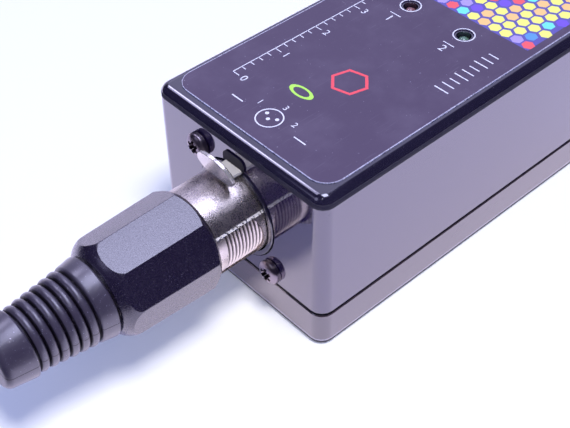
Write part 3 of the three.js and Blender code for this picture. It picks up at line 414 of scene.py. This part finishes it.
def below_the_roundings(place):
    """1 on the flat sides and 0 on the rounded top edges."""
    return 1 - place.along(2).fade(36.9 * MM, 37.9 * MM)


def reworked(material):
    """A finished material's shader, place, tone and roughness, to lay something over them."""
    nodes = material.node_tree.nodes
    shader = nodes["Principled BSDF"]
    tone, rough = [
        Signal(shader.inputs[name].links[0].from_socket) for name in ("Base Color", "Roughness")]
    return shader, Signal(nodes["Texture Coordinate"].outputs["Object"]), tone, rough


# The flat sides are painted a lighter violet than the rounded top edges: painted light, as the
# sides stand brighter.
shell_plastic = moulded("shell_plastic", (0.012, 0.010, 0.024), rough=0.07, ior=2.1,
                        haze=(below_the_roundings, (0.024, 0.014, 0.052)))
shell_shader, shell_place, shell_tone, shell_rough = reworked(shell_plastic)
# Below the rounded top edges a band is painted dark and made matt: painted shade.
shell_level = shell_place.along(2)
shade_line = shell_level.fade(37.25 * MM, 37.6 * MM) * (
    1 - shell_level.fade(38.3 * MM, 38.7 * MM))
varied(shell_shader, Base_Color=shade_line.between(shell_tone, (0.010, 0.007, 0.026)),
       Roughness=(shell_rough + shade_line * 0.8).clear(), Coat_Weight=1 - shade_line)
dressed("shell_upper", "upper_shell", shell_plastic, "case_plastic", moved=(9.2, 9.42))

# Base lid: a shallow lid of the same plastic that meets the shell at a dark parting groove.
# Its foot is a matt band painted dark as shade with a painted highlight along its upper edge,
# the lip in the groove is matt and painted dark as shade as well, and it is screwed on from below.
base_plastic = moulded("base_plastic", (0.046, 0.029, 0.036), rough=0.12, ior=2.1)
base_shader, base_place, base_tone, base_rough = reworked(base_plastic)
base_level = base_place.along(2)
# A painted highlight along the upper edge of the foot.
foot_painted_highlight = base_level.fade(1.05 * MM, 1.2 * MM) * (1 - base_level.fade(1.35 * MM, 1.6 * MM))
# The foot and the lip in the groove are painted dark as shade and made matt.
foot_and_lip_painted_shade = (1 - base_level.fade(0.95 * MM, 1.15 * MM)).maths(
    "MAXIMUM", base_level.fade(8.54 * MM, 8.60 * MM))
base_with_painted_highlight = (foot_painted_highlight * 0.5).between(base_tone, (0.62, 0.58, 0.66))
varied(base_shader, Base_Color=foot_and_lip_painted_shade.between(base_with_painted_highlight, (0.006, 0.005, 0.009)),
       Roughness=(base_rough + foot_and_lip_painted_shade * 0.8).clear(), Coat_Weight=1 - foot_and_lip_painted_shade)
dressed("shell_base", "base_lid", base_plastic, "case_plastic")


# Case, board and socket screws: pan heads with a six-lobed recess, zinc plated below and on the
# board and blackened at the round socket, screwed into the moulded bosses.
def metal(name, colour, rough, grain_size, depth):
    """A metal with a fine grain, patches of duller finish and darker low spots."""
    made, shader, place = new_finish(name, Metallic=1.0)
    fine = place.grain(grain_size * MM, 3.0, 0.6)
    dull = place.grain(2.5 * MM, 3.0)
    varied(shader,
           Base_Color=(dull.fade(0.35, 0.75) * 0.6 + fine * 0.4).between(
               [c * 0.80 for c in colour], colour),
           Roughness=(fine * 0.25 + dull * 0.12 + rough - 0.18).clear(),
           Normal=fine.bump(depth * MM, 0.6))
    return made


def grown(name, places, body, slot, finish, sizes, recipe, *nodes):
    """Pieces that repeat: a recipe of geometry nodes on a set of places, made a plain mesh."""
    tree = bpy.data.node_groups.new(name + "_recipe", "GeometryNodeTree")
    tree.interface.new_socket("Geometry", in_out="INPUT", socket_type="NodeSocketGeometry")
    tree.interface.new_socket("Geometry", in_out="OUTPUT", socket_type="NodeSocketGeometry")
    inputs = {}
    for label, size in sizes.items():
        kind = "NodeSocketRotation" if hasattr(size, "__len__") else "NodeSocketFloat"
        inputs[label] = tree.interface.new_socket(
            label, in_out="INPUT", socket_type=kind).identifier
    start = tree.nodes.new("NodeGroupInput")
    given = {socket.name: Signal(socket) for socket in start.outputs if socket.name}
    made = recipe(given)
    made = made.node("GeometryNodeRealizeInstances", None, {0: made})
    made = made.node("GeometryNodeSetMaterial", None, {"Geometry": made, "Material": finish})
    tree.links.new(made.socket, tree.nodes.new("NodeGroupOutput").inputs[0])
    mesh = bpy.data.meshes.new(name)
    mesh.from_pydata([Vector(place) * MM for place in places], [], [])
    carrier = bpy.data.objects.new(name, mesh)
    scene.collection.objects.link(carrier)
    modifier = carrier.modifiers.new("recipe", "NODES")
    modifier.node_group = tree
    for label, size in sizes.items():
        modifier[inputs[label]] = size
    piece = settled(carrier, name, body, slot, *nodes)
    form = bmesh.new()
    form.from_mesh(piece.data)
    bmesh.ops.remove_doubles(form, verts=form.verts, dist=0.0005 * MM)
    eased(form, 40)
    form.to_mesh(piece.data)
    form.free()


def triple(x, y, z):
    """Three lengths of a recipe as one size or place."""
    return z.node("ShaderNodeCombineXYZ", None, {0: x, 1: y, 2: z})


def lifted(form, height, **others):
    """A form of a recipe raised by a height, and scaled or turned where others say so."""
    return form.node("GeometryNodeTransform", None, {
        "Geometry": form, "Translation": triple(0.0, 0.0, height), **others})


def pan_screw(size):
    """A domed head with a six-lobed recess on a plain shank, set on every place."""
    radius, height = size["Head Radius"], size["Head Height"]
    recess, shank_length = size["Recess Depth"], size["Shank Length"]
    rim_share = 0.38
    dome = radius.node("GeometryNodeMeshUVSphere", None, {
        "Segments": 48, "Rings": 24, "Radius": 1.0})
    dome = lifted(dome, height * rim_share, Scale=triple(radius, radius, height * (1 - rim_share)))
    rim = radius.node("GeometryNodeMeshCylinder", None, {
        "Vertices": 48, "Radius": radius * 0.998, "Depth": height * rim_share})
    rim = lifted(rim, height * (rim_share / 2))
    head = dome.node("GeometryNodeMeshBoolean", {"operation": "UNION", "solver": "EXACT"}, {
        "Mesh 2": [dome, rim]})
    cutters = []
    for turn in (0.0, math.pi / 3, math.pi * 2 / 3):
        lobes = radius.node("GeometryNodeMeshCube", None, {
            "Size": triple(radius * 1.16, radius * 0.27, recess * 2)})
        cutters.append(lifted(lobes, height, Rotation=(0, 0, turn)))
    well = radius.node("GeometryNodeMeshCone", None, {
        "Vertices": 24, "Radius Top": radius * 0.44, "Radius Bottom": radius * 0.20,
        "Depth": recess})
    cutters.append(lifted(well, height - recess * 0.98))
    below = radius.node("GeometryNodeMeshCube", None, {
        "Size": triple(radius * 3, radius * 3, height * 3)})
    cutters.append(lifted(below, height * -1.5))
    for cutter in cutters:
        head = head.node("GeometryNodeMeshBoolean", {
            "operation": "DIFFERENCE", "solver": "EXACT"}, {"Mesh 1": head, "Mesh 2": cutter})
    shank = radius.node("GeometryNodeMeshCylinder", None, {
        "Vertices": 24, "Radius": size["Shank Radius"], "Depth": shank_length})
    let_in = 0.05 * MM
    shank = lifted(shank, shank_length * -0.5 + let_in)
    whole = shank.node("GeometryNodeJoinGeometry", None, {0: [shank, head]})
    return whole.node("GeometryNodeInstanceOnPoints", None, {
        "Points": size["Geometry"], "Instance": whole, "Rotation": size["Turn"]})


def screw_set(name, stem, count, facing, slot, finish, head, shank):
    """All screws of one kind at the CAD screws' places: radius and length of head and shank."""
    nodes = [f"{stem}_{number}" for number in range(1, count + 1)]
    turn = {"up": (0, 0, 0.35), "down": (math.pi, 0, 0.6), "front": (math.pi / 2, 0.5, 0)}[facing]
    places = []
    for node in nodes:
        low, high = [Vector(corner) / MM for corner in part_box(node)]
        place = (low + high) / 2
        if facing == "up":
            place.z = low.z + shank[1]
        elif facing == "down":
            place.z = high.z - shank[1]
        else:
            place.y = high.y - shank[1]
        places.append(place)
    sizes = {"Head Radius": head[0] * MM, "Head Height": head[1] * MM,
             "Recess Depth": head[1] * 0.66 * MM, "Shank Radius": shank[0] * MM,
             "Shank Length": shank[1] * MM, "Turn": turn}
    grown(name, places, "case", slot, finish, sizes, pan_screw, *nodes)


zinc = metal("zinc", (0.62, 0.63, 0.66), rough=0.34, grain_size=0.09, depth=0.004)
screw_set("case_screws", "case_screw", 4, "down", "zinc_screws", zinc,
          head=(2.8, 2.1), shank=(1.45, 14))
screw_set("board_screws", "board_screw", 4, "up", "zinc_screws", zinc,
          head=(2.6, 1.7), shank=(1.4, 7))
black_steel = metal("black_steel", (0.44, 0.385, 0.42), rough=0.33, grain_size=0.25, depth=0.012)
screw_set("socket_screws", "socket_screw", 2, "front", "black_screws", black_steel,
          head=(2.7, 2.0), shank=(1.45, 8))

# Label: a thin printed film of satin violet-black with rounded corners, stuck on the top face,
# with a round window over each lamp. Its cut edge has a painted highlight, broken into specks.
label_film, film_shader, film_place = new_finish("label_film", IOR=1.5)
film_smear = film_place.grain(9 * MM, 4.0, 0.6).fade(0.4, 0.75)
film_hairs = film_place.scaled(1, 0.04, 1).grain(0.3 * MM, 3.0).fade(0.66, 0.69)
film_dust = film_place.grain(0.4 * MM, 1.0).fade(0.77, 0.82)
film_tone = film_smear.between((0.082, 0.058, 0.104), (0.103, 0.077, 0.128))
film_x, film_y = film_place.along(0), film_place.along(1)
film_half_width, film_half_length, film_rounding = 22.2, 46.85, 4.4
film_out_x = abs(film_x) - (film_half_width - film_rounding) * MM
film_out_y = abs(film_y) - (film_half_length - film_rounding) * MM
film_corner = (film_out_x.most(0.0) ** 2 + film_out_y.most(0.0) ** 2) ** 0.5
film_edge = film_corner + film_out_x.most(film_out_y).maths("MINIMUM", 0.0)
# A painted highlight along the film's cut edge, broken up by noise.
film_broken = film_place.grain(0.35 * MM, 2.0).fade(0.22, 0.60)
film_edge_painted_glint = film_edge.fade(4.15 * MM, 4.3 * MM) * film_broken
varied(film_shader,
       Base_Color=(film_dust * 0.6 + film_hairs * 0.05 + film_edge_painted_glint).clear().between(
           film_tone, (0.60, 0.58, 0.72)),
       Roughness=(film_smear * 0.08 + 0.30).clear(),
       Normal=(film_place.grain(0.25 * MM, 2.0) * 0.5 + film_dust).bump(0.01 * MM, 0.4))
dressed("label_film", "top_label", label_film, "label", edge=0, moved=(40.25, 40.22))


# Print on the label, of plain figures only: a rule with ticks and numbers at the left, a pin
# diagram at the front, two hollow outlines, short dashes, a ring and a number at each lamp,
# and at the rear a band of hexagons in several inks. Ink is a thin raised skin on the film.
def ink(name, colour):
    """Screen ink: an even colour with a fine mottle, worn a little."""
    made, shader, place = new_finish(name, IOR=1.5)
    mottle = place.grain(0.5 * MM, 3.0)
    worn = place.grain(1.6 * MM, 4.0, 0.7).fade(0.66, 0.74)
    varied(shader,
           Base_Color=(mottle * 0.18 + worn * 0.3).between(colour, [c * 0.55 for c in colour]),
           Roughness=(mottle * 0.15 + 0.32).clear())
    return made


def formed(form, name, finish, body, slot, *nodes):
    """A form made in mesh code as a finished piece that rides on its body."""
    mesh = bpy.data.meshes.new(name)
    form.to_mesh(mesh)
    form.free()
    mesh.materials.append(finish)
    carrier = bpy.data.objects.new(name, mesh)
    scene.collection.objects.link(carrier)
    settled(carrier, name, body, slot, *nodes)


film_top = 40.22


def printed(name, outlines, finish, depth=0.015):
    """Closed flat figures, given by their corners in millimetres, as one raised skin of ink."""
    form = bmesh.new()
    for outline in outlines:
        foot, top = [
            [form.verts.new((x * MM, y * MM, (film_top + lift) * MM)) for x, y in outline]
            for lift in (0.0, depth)]
        form.faces.new(foot[::-1])
        form.faces.new(top)
        for k in range(len(outline)):
            form.faces.new((foot[k - 1], foot[k], top[k], top[k - 1]))
    bmesh.ops.recalc_face_normals(form, faces=form.faces)
    formed(form, name, finish, "case", "label")


def bar(x, y, width, length):
    """A bar's four corners round its middle."""
    return [(x + side * width / 2, y + end * length / 2)
            for side, end in ((-1, -1), (1, -1), (1, 1), (-1, 1))]


def hollow(x, y, radius, line, sides, turn=0.0, stretch=1.0):
    """A hollow outline as one four-cornered strip for each side."""
    inner = radius - line
    strips = []
    for k in range(sides):
        corners = []
        for reach_out, step in ((radius, k), (radius, k + 1), (inner, k + 1), (inner, k)):
            angle = turn + 2 * math.pi * step / sides
            corners.append((
                x + reach_out * math.cos(angle) * stretch, y + reach_out * math.sin(angle)))
        strips.append(corners)
    return strips


def disc(x, y, radius):
    """A round dot's corners."""
    turns = [2 * math.pi * k / 16 for k in range(16)]
    return [(x + radius * math.cos(turn), y + radius * math.sin(turn)) for turn in turns]


def numeral(text, x, y, height):
    """The outlines of one plain number, filled and raised, as a mesh at its place."""
    size_for_height = 1.38
    half_depth = 0.0075
    curve = bpy.data.curves.new("numeral_" + text, "FONT")
    curve.body = text
    curve.size = height * size_for_height * MM
    curve.align_x = "CENTER"
    curve.align_y = "CENTER"
    curve.extrude = half_depth * MM
    curve.resolution_u = 4
    figure = bpy.data.objects.new("numeral_" + text, curve)
    scene.collection.objects.link(figure)
    bpy.context.view_layer.update()
    seen_by = figure.evaluated_get(bpy.context.evaluated_depsgraph_get())
    mesh = bpy.data.meshes.new_from_object(seen_by)
    bpy.data.objects.remove(figure)
    mesh.transform(Matrix.Translation(Vector((x, y, film_top + half_depth)) * MM))
    return mesh


white_ink = ink("white_ink", (0.80, 0.79, 0.86))
rule_x, rule_start, tick_step = -16.2, -36, 2.3
white_figures = [bar(rule_x, rule_start + tick_step * 10, 0.22, tick_step * 20)]
for k in range(21):
    tick = 1.3 if k % 5 else 1.9
    white_figures.append(bar(rule_x + tick / 2, rule_start + tick_step * k, tick, 0.22))
diagram_y = -41
white_figures += [bar(x, diagram_y, 3.2, 0.32) for x in (-9.0, 9.0)]
white_figures += [disc(x, diagram_y + up, 0.42) for x, up in ((0, 0), (-1.45, 1.1), (1.45, 1.1))]
white_figures += hollow(0, diagram_y + 0.4, 2.9, 0.28, 48)
white_figures += [bar(16.8, -10 + 2.0 * k, 3.6 - 0.5 * (k % 3), 0.30) for k in range(9)]
window_x, window_y = 7.6, 7.4
for lamp_x in (-window_x, window_x):
    white_figures += hollow(lamp_x, window_y, 2.42, 0.26, 40)
    white_figures.append(bar(lamp_x, 2.6, 3.0, 0.25))
printed("print_white", white_figures, white_ink)
number_places = [
    ("1", -window_x, 0.6, 2.2), ("2", window_x, 0.6, 2.2), ("1", -5.0, -38.6, 1.5),
    ("2", 5.0, -38.6, 1.5), ("3", 0.0, -36.3, 1.5)]
number_places += [(str(k), -12.9, rule_start + tick_step * 5 * k, 1.9) for k in range(5)]
numbers = bmesh.new()
for text, x, y, height in number_places:
    numbers.from_mesh(numeral(text, x, y, height))
formed(numbers, "print_numbers", white_ink, "case", "label")
printed("print_red", hollow(2.6, -21.4, 4.3, 0.75, 6, turn=0.26),
        ink("red_ink", (0.93, 0.10, 0.13)))
printed("print_lime", hollow(-1.7, -30.6, 1.5, 0.5, 32, stretch=2.1),
        ink("lime_ink", (0.50, 0.90, 0.12)))
printed("print_ground", [bar(0, 28.6, 40.6, 32.0)], ink("ground_ink", (0.13, 0.11, 0.42)),
        depth=0.008)


def hexagon_print(size):
    """A thin six-sided tile on every place."""
    tile = size["Across"].node("GeometryNodeMeshCylinder", None, {
        "Vertices": 6, "Radius": size["Across"] * 0.5, "Depth": size["Thickness"]})
    return tile.node("GeometryNodeInstanceOnPoints", None, {
        "Points": size["Geometry"], "Instance": tile, "Rotation": size["Turn"]})


band_inks = {
    "yellow": (1.0, 0.97, 0.21), "cyan": (0.20, 0.83, 0.75), "mint": (0.60, 1.0, 0.74),
    "coral": (0.93, 0.13, 0.15), "violet": (0.20, 0.11, 0.70), "lilac": (0.45, 0.35, 0.75),
    "blue": (0.13, 0.35, 0.72), "orange": (1.0, 0.61, 0.23)}
mixed_inks = ["cyan", "mint", "coral", "violet", "lilac", "blue", "yellow"]
band_places = {colour: [] for colour in band_inks}
tile_step, row_step, tile_depth = 2.95, 2.88, 0.023
for row in range(11):
    for column in range(14 - row % 2):
        x = -19.2 + tile_step * column + tile_step / 2 * (row % 2)
        y = 14.2 + row_step * row
        slant = x - 0.55 * (y - 13)
        if 2 < slant < 11:
            colour = "yellow" if (column + row) % 3 else "orange"
        else:
            colour = mixed_inks[(column * 5 + row * 3 + column * row) % len(mixed_inks)]
        band_places[colour].append((x, y, film_top + tile_depth / 2))
for colour, places in band_places.items():
    grown(f"print_{colour}_tiles", places, "case", "label",
          ink(f"{colour}_ink", band_inks[colour]),
          {"Across": 2.9 * MM, "Thickness": tile_depth * MM, "Turn": (0, 0, math.pi / 6)},
          hexagon_print)


# Lamps: 3 mm signal lamps moulded in tinted clear plastic, unlit. They stand on long leads
# from the board and end just under the label's windows.
def lens(name, colour):
    """A glossy tinted lens with a lighter core."""
    made, shader, place = new_finish(name, IOR=1.55, Coat_Weight=1.0, Coat_Roughness=0.03)
    core = place.grain(0.8 * MM, 1.0)
    varied(shader, Base_Color=core.between([c * 0.5 for c in colour], colour),
           Roughness=(core * 0.1 + 0.1).clear())
    return made


red_lens = lens("red_lens", (0.30, 0.14, 0.16))
dressed("lamp_power_lens", "lamp_power", red_lens, "red_lamp", edge=0.05)
green_lens = lens("green_lens", (0.15, 0.27, 0.20))
dressed("lamp_link_lens", "lamp_link", green_lens, "green_lamp", edge=0.05)

# Round socket: a moulded flanged body behind the front wall, the insulator block inside it
# and three silvered contacts. Only the collar shows while the plug is in.
socket_plastic = moulded("socket_plastic", (0.014, 0.012, 0.024), rough=0.10, ior=2.0)
dressed("socket_housing", "socket_body", socket_plastic, "socket_plastic", edge=0.08)
insulator = moulded("insulator", (0.040, 0.040, 0.050), rough=0.40, ior=1.5, coat=0.0)
dressed("socket_insulator", "socket_insert", insulator, "insulator", edge=0.08)
silver = metal("silver", (0.86, 0.85, 0.83), rough=0.26, grain_size=0.10, depth=0.003)
for number in (1, 2, 3):
    dressed(f"socket_contact_{number}_barrel", f"socket_contact_{number}", silver,
            "silvered_contacts", edge=0.04)

# Latch: a nickel-plated steel lever with a half-moon thumb pad whose back is painted dark as
# shade, on a steel pin. A dark matt plastic sheet on it closes the wall's slot, standing in for
# the shade and dark reflection there. The coil spring under it is drawn a little shorter than
# its solid, so that the lever can come down on it.
nickel = metal("nickel", (1.0, 0.94, 0.87), rough=0.22, grain_size=0.36, depth=0.028)
nickel_shader, nickel_place, nickel_tone, _ = reworked(nickel)
nickel_y, nickel_z = nickel_place.along(1), nickel_place.along(2)
pad_front, pad_middle, pad_lean = 54.85, 36, 0.249
pad_depth = nickel_y + (nickel_z - pad_middle * MM) * pad_lean + pad_front * MM
# The back of the pad is painted dark: painted shade.
pad_back_painted_shade = pad_depth.fade(0.60 * MM, 0.72 * MM) * nickel_z.fade(34.2 * MM, 34.5 * MM)
strip_part = nickel_y.fade(-53.9 * MM, -53.5 * MM)
varied(nickel_shader,
       Base_Color=(pad_back_painted_shade * 0.85).between(nickel_tone, (0.03, 0.03, 0.035)),
       Metallic=(strip_part * -0.36 + 0.78).clear())
dressed("latch_strip", "latch_lever", nickel, "nickel", edge=0.1)
# A dark matt sheet over the slot, standing in for the shade and dark reflection seen there.
dark_sheet_plastic = moulded("dark_sheet_plastic", (0.012, 0.010, 0.022), rough=0.55, ior=1.4, coat=0.0)
flap_middle = Vector((0, -50.06, 34.95)) * MM
flap_width, flap_thickness, flap_height, flap_rounding = 6.2, 0.12, 2.8, 1.5
sheet_form = bmesh.new()
bmesh.ops.create_cube(sheet_form, size=1.0, matrix=Matrix.Translation(flap_middle) @ Matrix.Diagonal(
    (flap_width * MM, flap_thickness * MM, flap_height * MM, 1.0)))
upper_corners = [
    edge for edge in sheet_form.edges
    if all(end.co.z > flap_middle.z for end in edge.verts)
    and abs(edge.verts[0].co.x - edge.verts[1].co.x) < 0.1 * MM]
bmesh.ops.bevel(sheet_form, geom=upper_corners, offset=flap_rounding * MM, segments=8, profile=0.5,
                affect="EDGES")
eased(sheet_form, 40)
formed(sheet_form, "latch_dark_sheet", dark_sheet_plastic, "latch", "case_plastic")
steel = metal("steel", (0.58, 0.59, 0.62), rough=0.30, grain_size=0.12, depth=0.004)
dressed("latch_pin", "latch_pivot_pin", steel, "bright_steel", edge=0.06)
latch_coil = dressed("latch_coil", "latch_spring", steel, "bright_steel", edge=0, corner=50)
drawn_share = 0.86
coil_foot = min(point.co.z for point in latch_coil.data.vertices)
for point in latch_coil.data.vertices:
    point.co.z = coil_foot + (point.co.z - coil_foot) * drawn_share

# Square USB socket: a folded tinned shell round a moulded block with four gilt contacts. It
# stands on the board, behind the opening in the rear wall.
tinned = metal("tinned", (0.74, 0.74, 0.75), rough=0.28, grain_size=0.14, depth=0.004)
dressed("usb_shell", "usb_socket_shell", tinned, "bright_steel", edge=0.12)
dressed("usb_block", "usb_socket_block", insulator, "insulator", edge=0.1)
gilt = metal("gilt", (0.83, 0.66, 0.30), rough=0.26, grain_size=0.10, depth=0.003)
for number in (1, 2, 3, 4):
    dressed(f"usb_blade_{number}", f"usb_contact_{number}", gilt, "gilt_contacts", edge=0.03)

# Circuit board: green masked glass laminate with its chips, resistors, crystal and capacitor,
# held by four screws on the posts of the base.
mask_green, mask_shader, mask_place = new_finish("board_mask", IOR=1.5, Coat_Weight=0.4)
weave = mask_place.grain(0.5 * MM, 2.0)
tracks = mask_place.scaled(1, 0.2, 1).grain(1.4 * MM, 1.0).fade(0.52, 0.55)
varied(mask_shader, Base_Color=tracks.between((0.010, 0.085, 0.032), (0.020, 0.140, 0.050)),
       Roughness=(weave * 0.2 + 0.3).clear(), Normal=(tracks + weave * 0.3).bump(0.03 * MM, 0.5))
dressed("board", "circuit_board", mask_green, "circuit_board", edge=0.05)
chip_black = moulded("chip_black", (0.030, 0.030, 0.034), rough=0.50, ior=1.5, coat=0.0)
for node in ("controller_chip", "isolator_chip", "line_driver_chip", "isolated_converter",
             "resistor_1", "resistor_2", "resistor_3", "resistor_4", "resistor_5"):
    dressed(node + "_case", node, chip_black, "chip_plastic", edge=0.05)
dressed("crystal_can", "crystal", tinned, "bright_steel", edge=0.15)
sleeve = moulded("capacitor_sleeve", (0.035, 0.045, 0.080), rough=0.35, ior=1.5, coat=0.3)
dressed("capacitor_can", "capacitor", sleeve, "capacitor_sleeve", edge=0.1)

# Plug: a turned barrel plated in satin nickel, with a ribbed grip sunk into each side, round at
# its rear end, with a painted highlight along each grip's upper edge and painted shade down in the
# grip's grooves. Inside is the insulator with three pins.
axis_level = 22.58
grip_foot, grip_height, grip_middle = -6.64, 11.28, -1.0
barrel_reach, fill_depth, fill_start = 9.597, 1.3, -48.3
grip_end_start, grip_end_bow = -51.2, 1.8
grip_steps = 28
grip_ends = bmesh.new()
for side in (1, -1):
    rings = []
    for step in range(grip_steps + 1):
        level = grip_foot + grip_height * step / grip_steps
        outer = math.sqrt(barrel_reach ** 2 - level ** 2)
        inner = outer - fill_depth
        bow = abs((level - grip_middle) / (grip_height / 2)) ** 3
        end = grip_end_start - grip_end_bow * bow
        rings.append([
            grip_ends.verts.new((side * x * MM, y * MM, (level + axis_level) * MM))
            for x, y in ((outer, end), (outer, fill_start), (inner, fill_start), (inner, end))])
    for first, second in zip(rings, rings[1:]):
        for corner in range(4):
            grip_ends.faces.new((
                first[corner], first[corner - 1], second[corner - 1], second[corner]))
    grip_ends.faces.new(rings[0])
    grip_ends.faces.new(rings[-1][::-1])
bmesh.ops.recalc_face_normals(grip_ends, faces=grip_ends.faces)
grip_end_mesh = bpy.data.meshes.new("grip_end")
grip_ends.to_mesh(grip_end_mesh)
grip_ends.free()
grip_end = bpy.data.objects.new("grip_end", grip_end_mesh)
scene.collection.objects.link(grip_end)
barrel_nickel, barrel_shader, barrel_place = new_finish("barrel_nickel", Metallic=0.97)
barrel_x, barrel_y, barrel_z = [barrel_place.along(axis) for axis in range(3)]
barrel_level = barrel_z - axis_level * MM
barrel_radius = (barrel_x ** 2 + barrel_level ** 2) ** 0.5
# Down in the grip's grooves the nickel is painted dark: painted shade.
grip_groove_painted_shade = 1 - barrel_radius.fade(8.72 * MM, 9.02 * MM)
grip_face = barrel_radius.fade(9.2 * MM, 9.4 * MM)
barrel_grain = barrel_place.grain(0.30 * MM, 3.0, 0.65)
barrel_spark = barrel_place.grain(0.24 * MM, 1.5).fade(0.36, 0.60)
barrel_dull = barrel_place.grain(2.5 * MM, 3.0).fade(0.35, 0.75)
# A painted highlight along the upper edge of each grip, made less metallic.
grip_edge_painted_highlight = barrel_level.fade(4.45 * MM, 4.6 * MM) * (
    1 - barrel_level.fade(4.95 * MM, 5.25 * MM))
grip_edge_painted_highlight = grip_edge_painted_highlight * grip_face * barrel_place.grain(0.5 * MM, 2.0).fade(0.38, 0.5)
grip_edge_painted_highlight = grip_edge_painted_highlight * (1 - barrel_y.fade(-49.6 * MM, -49.2 * MM))
barrel_polish = (barrel_spark * 0.75 + barrel_dull * 0.25).most(1 - grip_face)
barrel_tone = barrel_polish.between((0.54, 0.48, 0.44), (1.0, 0.915, 0.825))
barrel_tone = (grip_groove_painted_shade * 0.8).between(barrel_tone, (0.06, 0.05, 0.06))
varied(barrel_shader,
       Base_Color=grip_edge_painted_highlight.between(barrel_tone, (1.0, 0.94, 0.90)),
       Metallic=(grip_edge_painted_highlight * -0.62 + 0.97).clear(),
       Roughness=(barrel_grain * 0.24 + barrel_dull * 0.08 + grip_groove_painted_shade * 0.2 + 0.15).clear(),
       Normal=(barrel_grain * (grip_face * 0.85 + 0.15)).bump(0.075 * MM, 0.7))
dressed("plug_barrel", "plug_shell", barrel_nickel, "nickel", edge=0.14, added=grip_end)
bpy.data.objects.remove(grip_end)
dressed("plug_insulator", "plug_insert", insulator, "insulator", edge=0.08)
for number in (1, 2, 3):
    dressed(f"plug_pin_{number}_post", f"plug_pin_{number}", silver, "silvered_contacts", edge=0.04)

# Clamp and housing: a slotted collet inside, and round it the eight-sided sleeve moulded in
# grained black plastic and screwed on to the barrel's neck.
clamp_plastic = moulded("clamp_plastic", (0.050, 0.050, 0.055), rough=0.45, ior=1.5, coat=0.0)
dressed("clamp_collet", "cable_clamp", clamp_plastic, "clamp_plastic", edge=0.1)


def grained(name, colour, rough, size, depth, ior, sparkle, haze, dark=None):
    """Black plastic or rubber with a fine sparkling grain and pale specks. Where dark is given,
    a function of the place, the surface is matt black where that is 1."""
    made, shader, place = new_finish(
        name, IOR=ior, Coat_Weight=0.8, Coat_IOR=1.7, Coat_Roughness=haze)
    fine = place.grain(size * MM, 3.0, 0.65)
    broad = place.grain(6 * MM, 3.0)
    specks = place.grain(0.22 * MM, 1.0).fade(0.71, 0.77) * sparkle
    tone = (broad * 0.5 + fine * 0.5).between([c * 0.7 for c in colour], [c * 1.3 for c in colour])
    if dark:
        shadow = dark(place)
        tone = (shadow * 0.95).between(tone, (0.002, 0.001, 0.004))
        varied(shader, Coat_Weight=1 - shadow)
    varied(shader,
           Base_Color=specks.between(tone, (0.55, 0.50, 0.66)),
           Roughness=(fine * 0.2 + broad * 0.1 + rough - 0.15).clear(),
           Normal=fine.bump(depth * MM, 0.8))
    return made


housing_plastic = grained("housing_plastic", (0.012, 0.008, 0.024), rough=0.27, size=0.30,
                          depth=0.055, ior=1.75, sparkle=0.3, haze=0.2)
dressed("housing_sleeve", "plug_housing", housing_plastic, "housing_plastic",
        edge=0.25, corner=20, levels=3)

# Boot: black rubber, moulded with a smooth collar, six round ribs and a tail, held by its
# flange inside the housing. The mould leaves a thin dark parting line along each side, and the
# valleys beside the ribs are painted dark as shade.
rib_pitch = 2.0


def parting_and_valleys(place):
    """1 on the mould's parting line and, as painted shade, down in the valleys beside the ribs."""
    station, level = place.along(1), place.along(2)
    parting = 1 - abs(level - axis_level * MM).fade(0.06 * MM, 0.14 * MM)
    wave = ((station + 88.5 * MM) * (2 * math.pi / (rib_pitch * MM))).maths("COSINE")
    ribbed = station.fade(-101.2 * MM, -100.9 * MM) * (1 - station.fade(-88.0 * MM, -87.8 * MM))
    return parting.most(wave.fade(0.45, 0.85) * ribbed)


boot_rubber = grained("boot_rubber", (0.036, 0.028, 0.052), rough=0.46, size=0.36, depth=0.022,
                      ior=1.85, sparkle=0.8, haze=0.28, dark=parting_and_valleys)


def rounded(radius, station, size, start, end):
    """Points of a rounded edge: centre, size and the angles it runs between, in degrees."""
    turns = [math.radians(start + (end - start) * step / 6) for step in range(7)]
    return [(radius + size * math.cos(turn), station + size * math.sin(turn)) for turn in turns]


boot_bore, rib_crest, rib_taper, rib_height = 3.3, 7.9, 1.15, 0.92
boot_outline = [(boot_bore, -78.9), (7.6, -78.9), (7.6, -79.9), (6.3, -79.9), (6.3, -84.6)]
boot_outline += rounded(8.0, -85.1, 0.5, 90, 0) + rounded(7.55, -87.7, 0.5, 0, -90) + [(6.9, -88.3)]
for rib in range(6):
    crest = rib_crest - rib_taper * rib / 5
    for angle in range(0, 181, 12):
        swell = math.sin(math.radians(angle)) ** 0.85
        boot_outline.append((
            crest - rib_height * (1 - swell),
            -89.5 - rib_pitch * rib + 0.9 * math.cos(math.radians(angle))))
boot_outline += [(5.75, -100.7)] + rounded(6.45, -101.3, 0.5, 90, 0)
boot_outline += rounded(4.9, -105.6, 1.4, 0, -90) + [(boot_bore, -107.0)]
boot_sides = 96
boot = bmesh.new()
boot_rings = []
for side in range(boot_sides):
    turn = 2 * math.pi * side / boot_sides
    boot_rings.append([
        boot.verts.new(Vector((
            radius * math.cos(turn), station, axis_level + radius * math.sin(turn))) * MM)
        for radius, station in boot_outline])
for side in range(boot_sides):
    here, there = boot_rings[side - 1], boot_rings[side]
    for point in range(len(boot_outline)):
        boot.faces.new((here[point - 1], there[point - 1], there[point], here[point]))
bmesh.ops.recalc_face_normals(boot, faces=boot.faces)
eased(boot, 50)
formed(boot, "boot_sleeve", boot_rubber, "plug", "boot_rubber", "cable_boot")
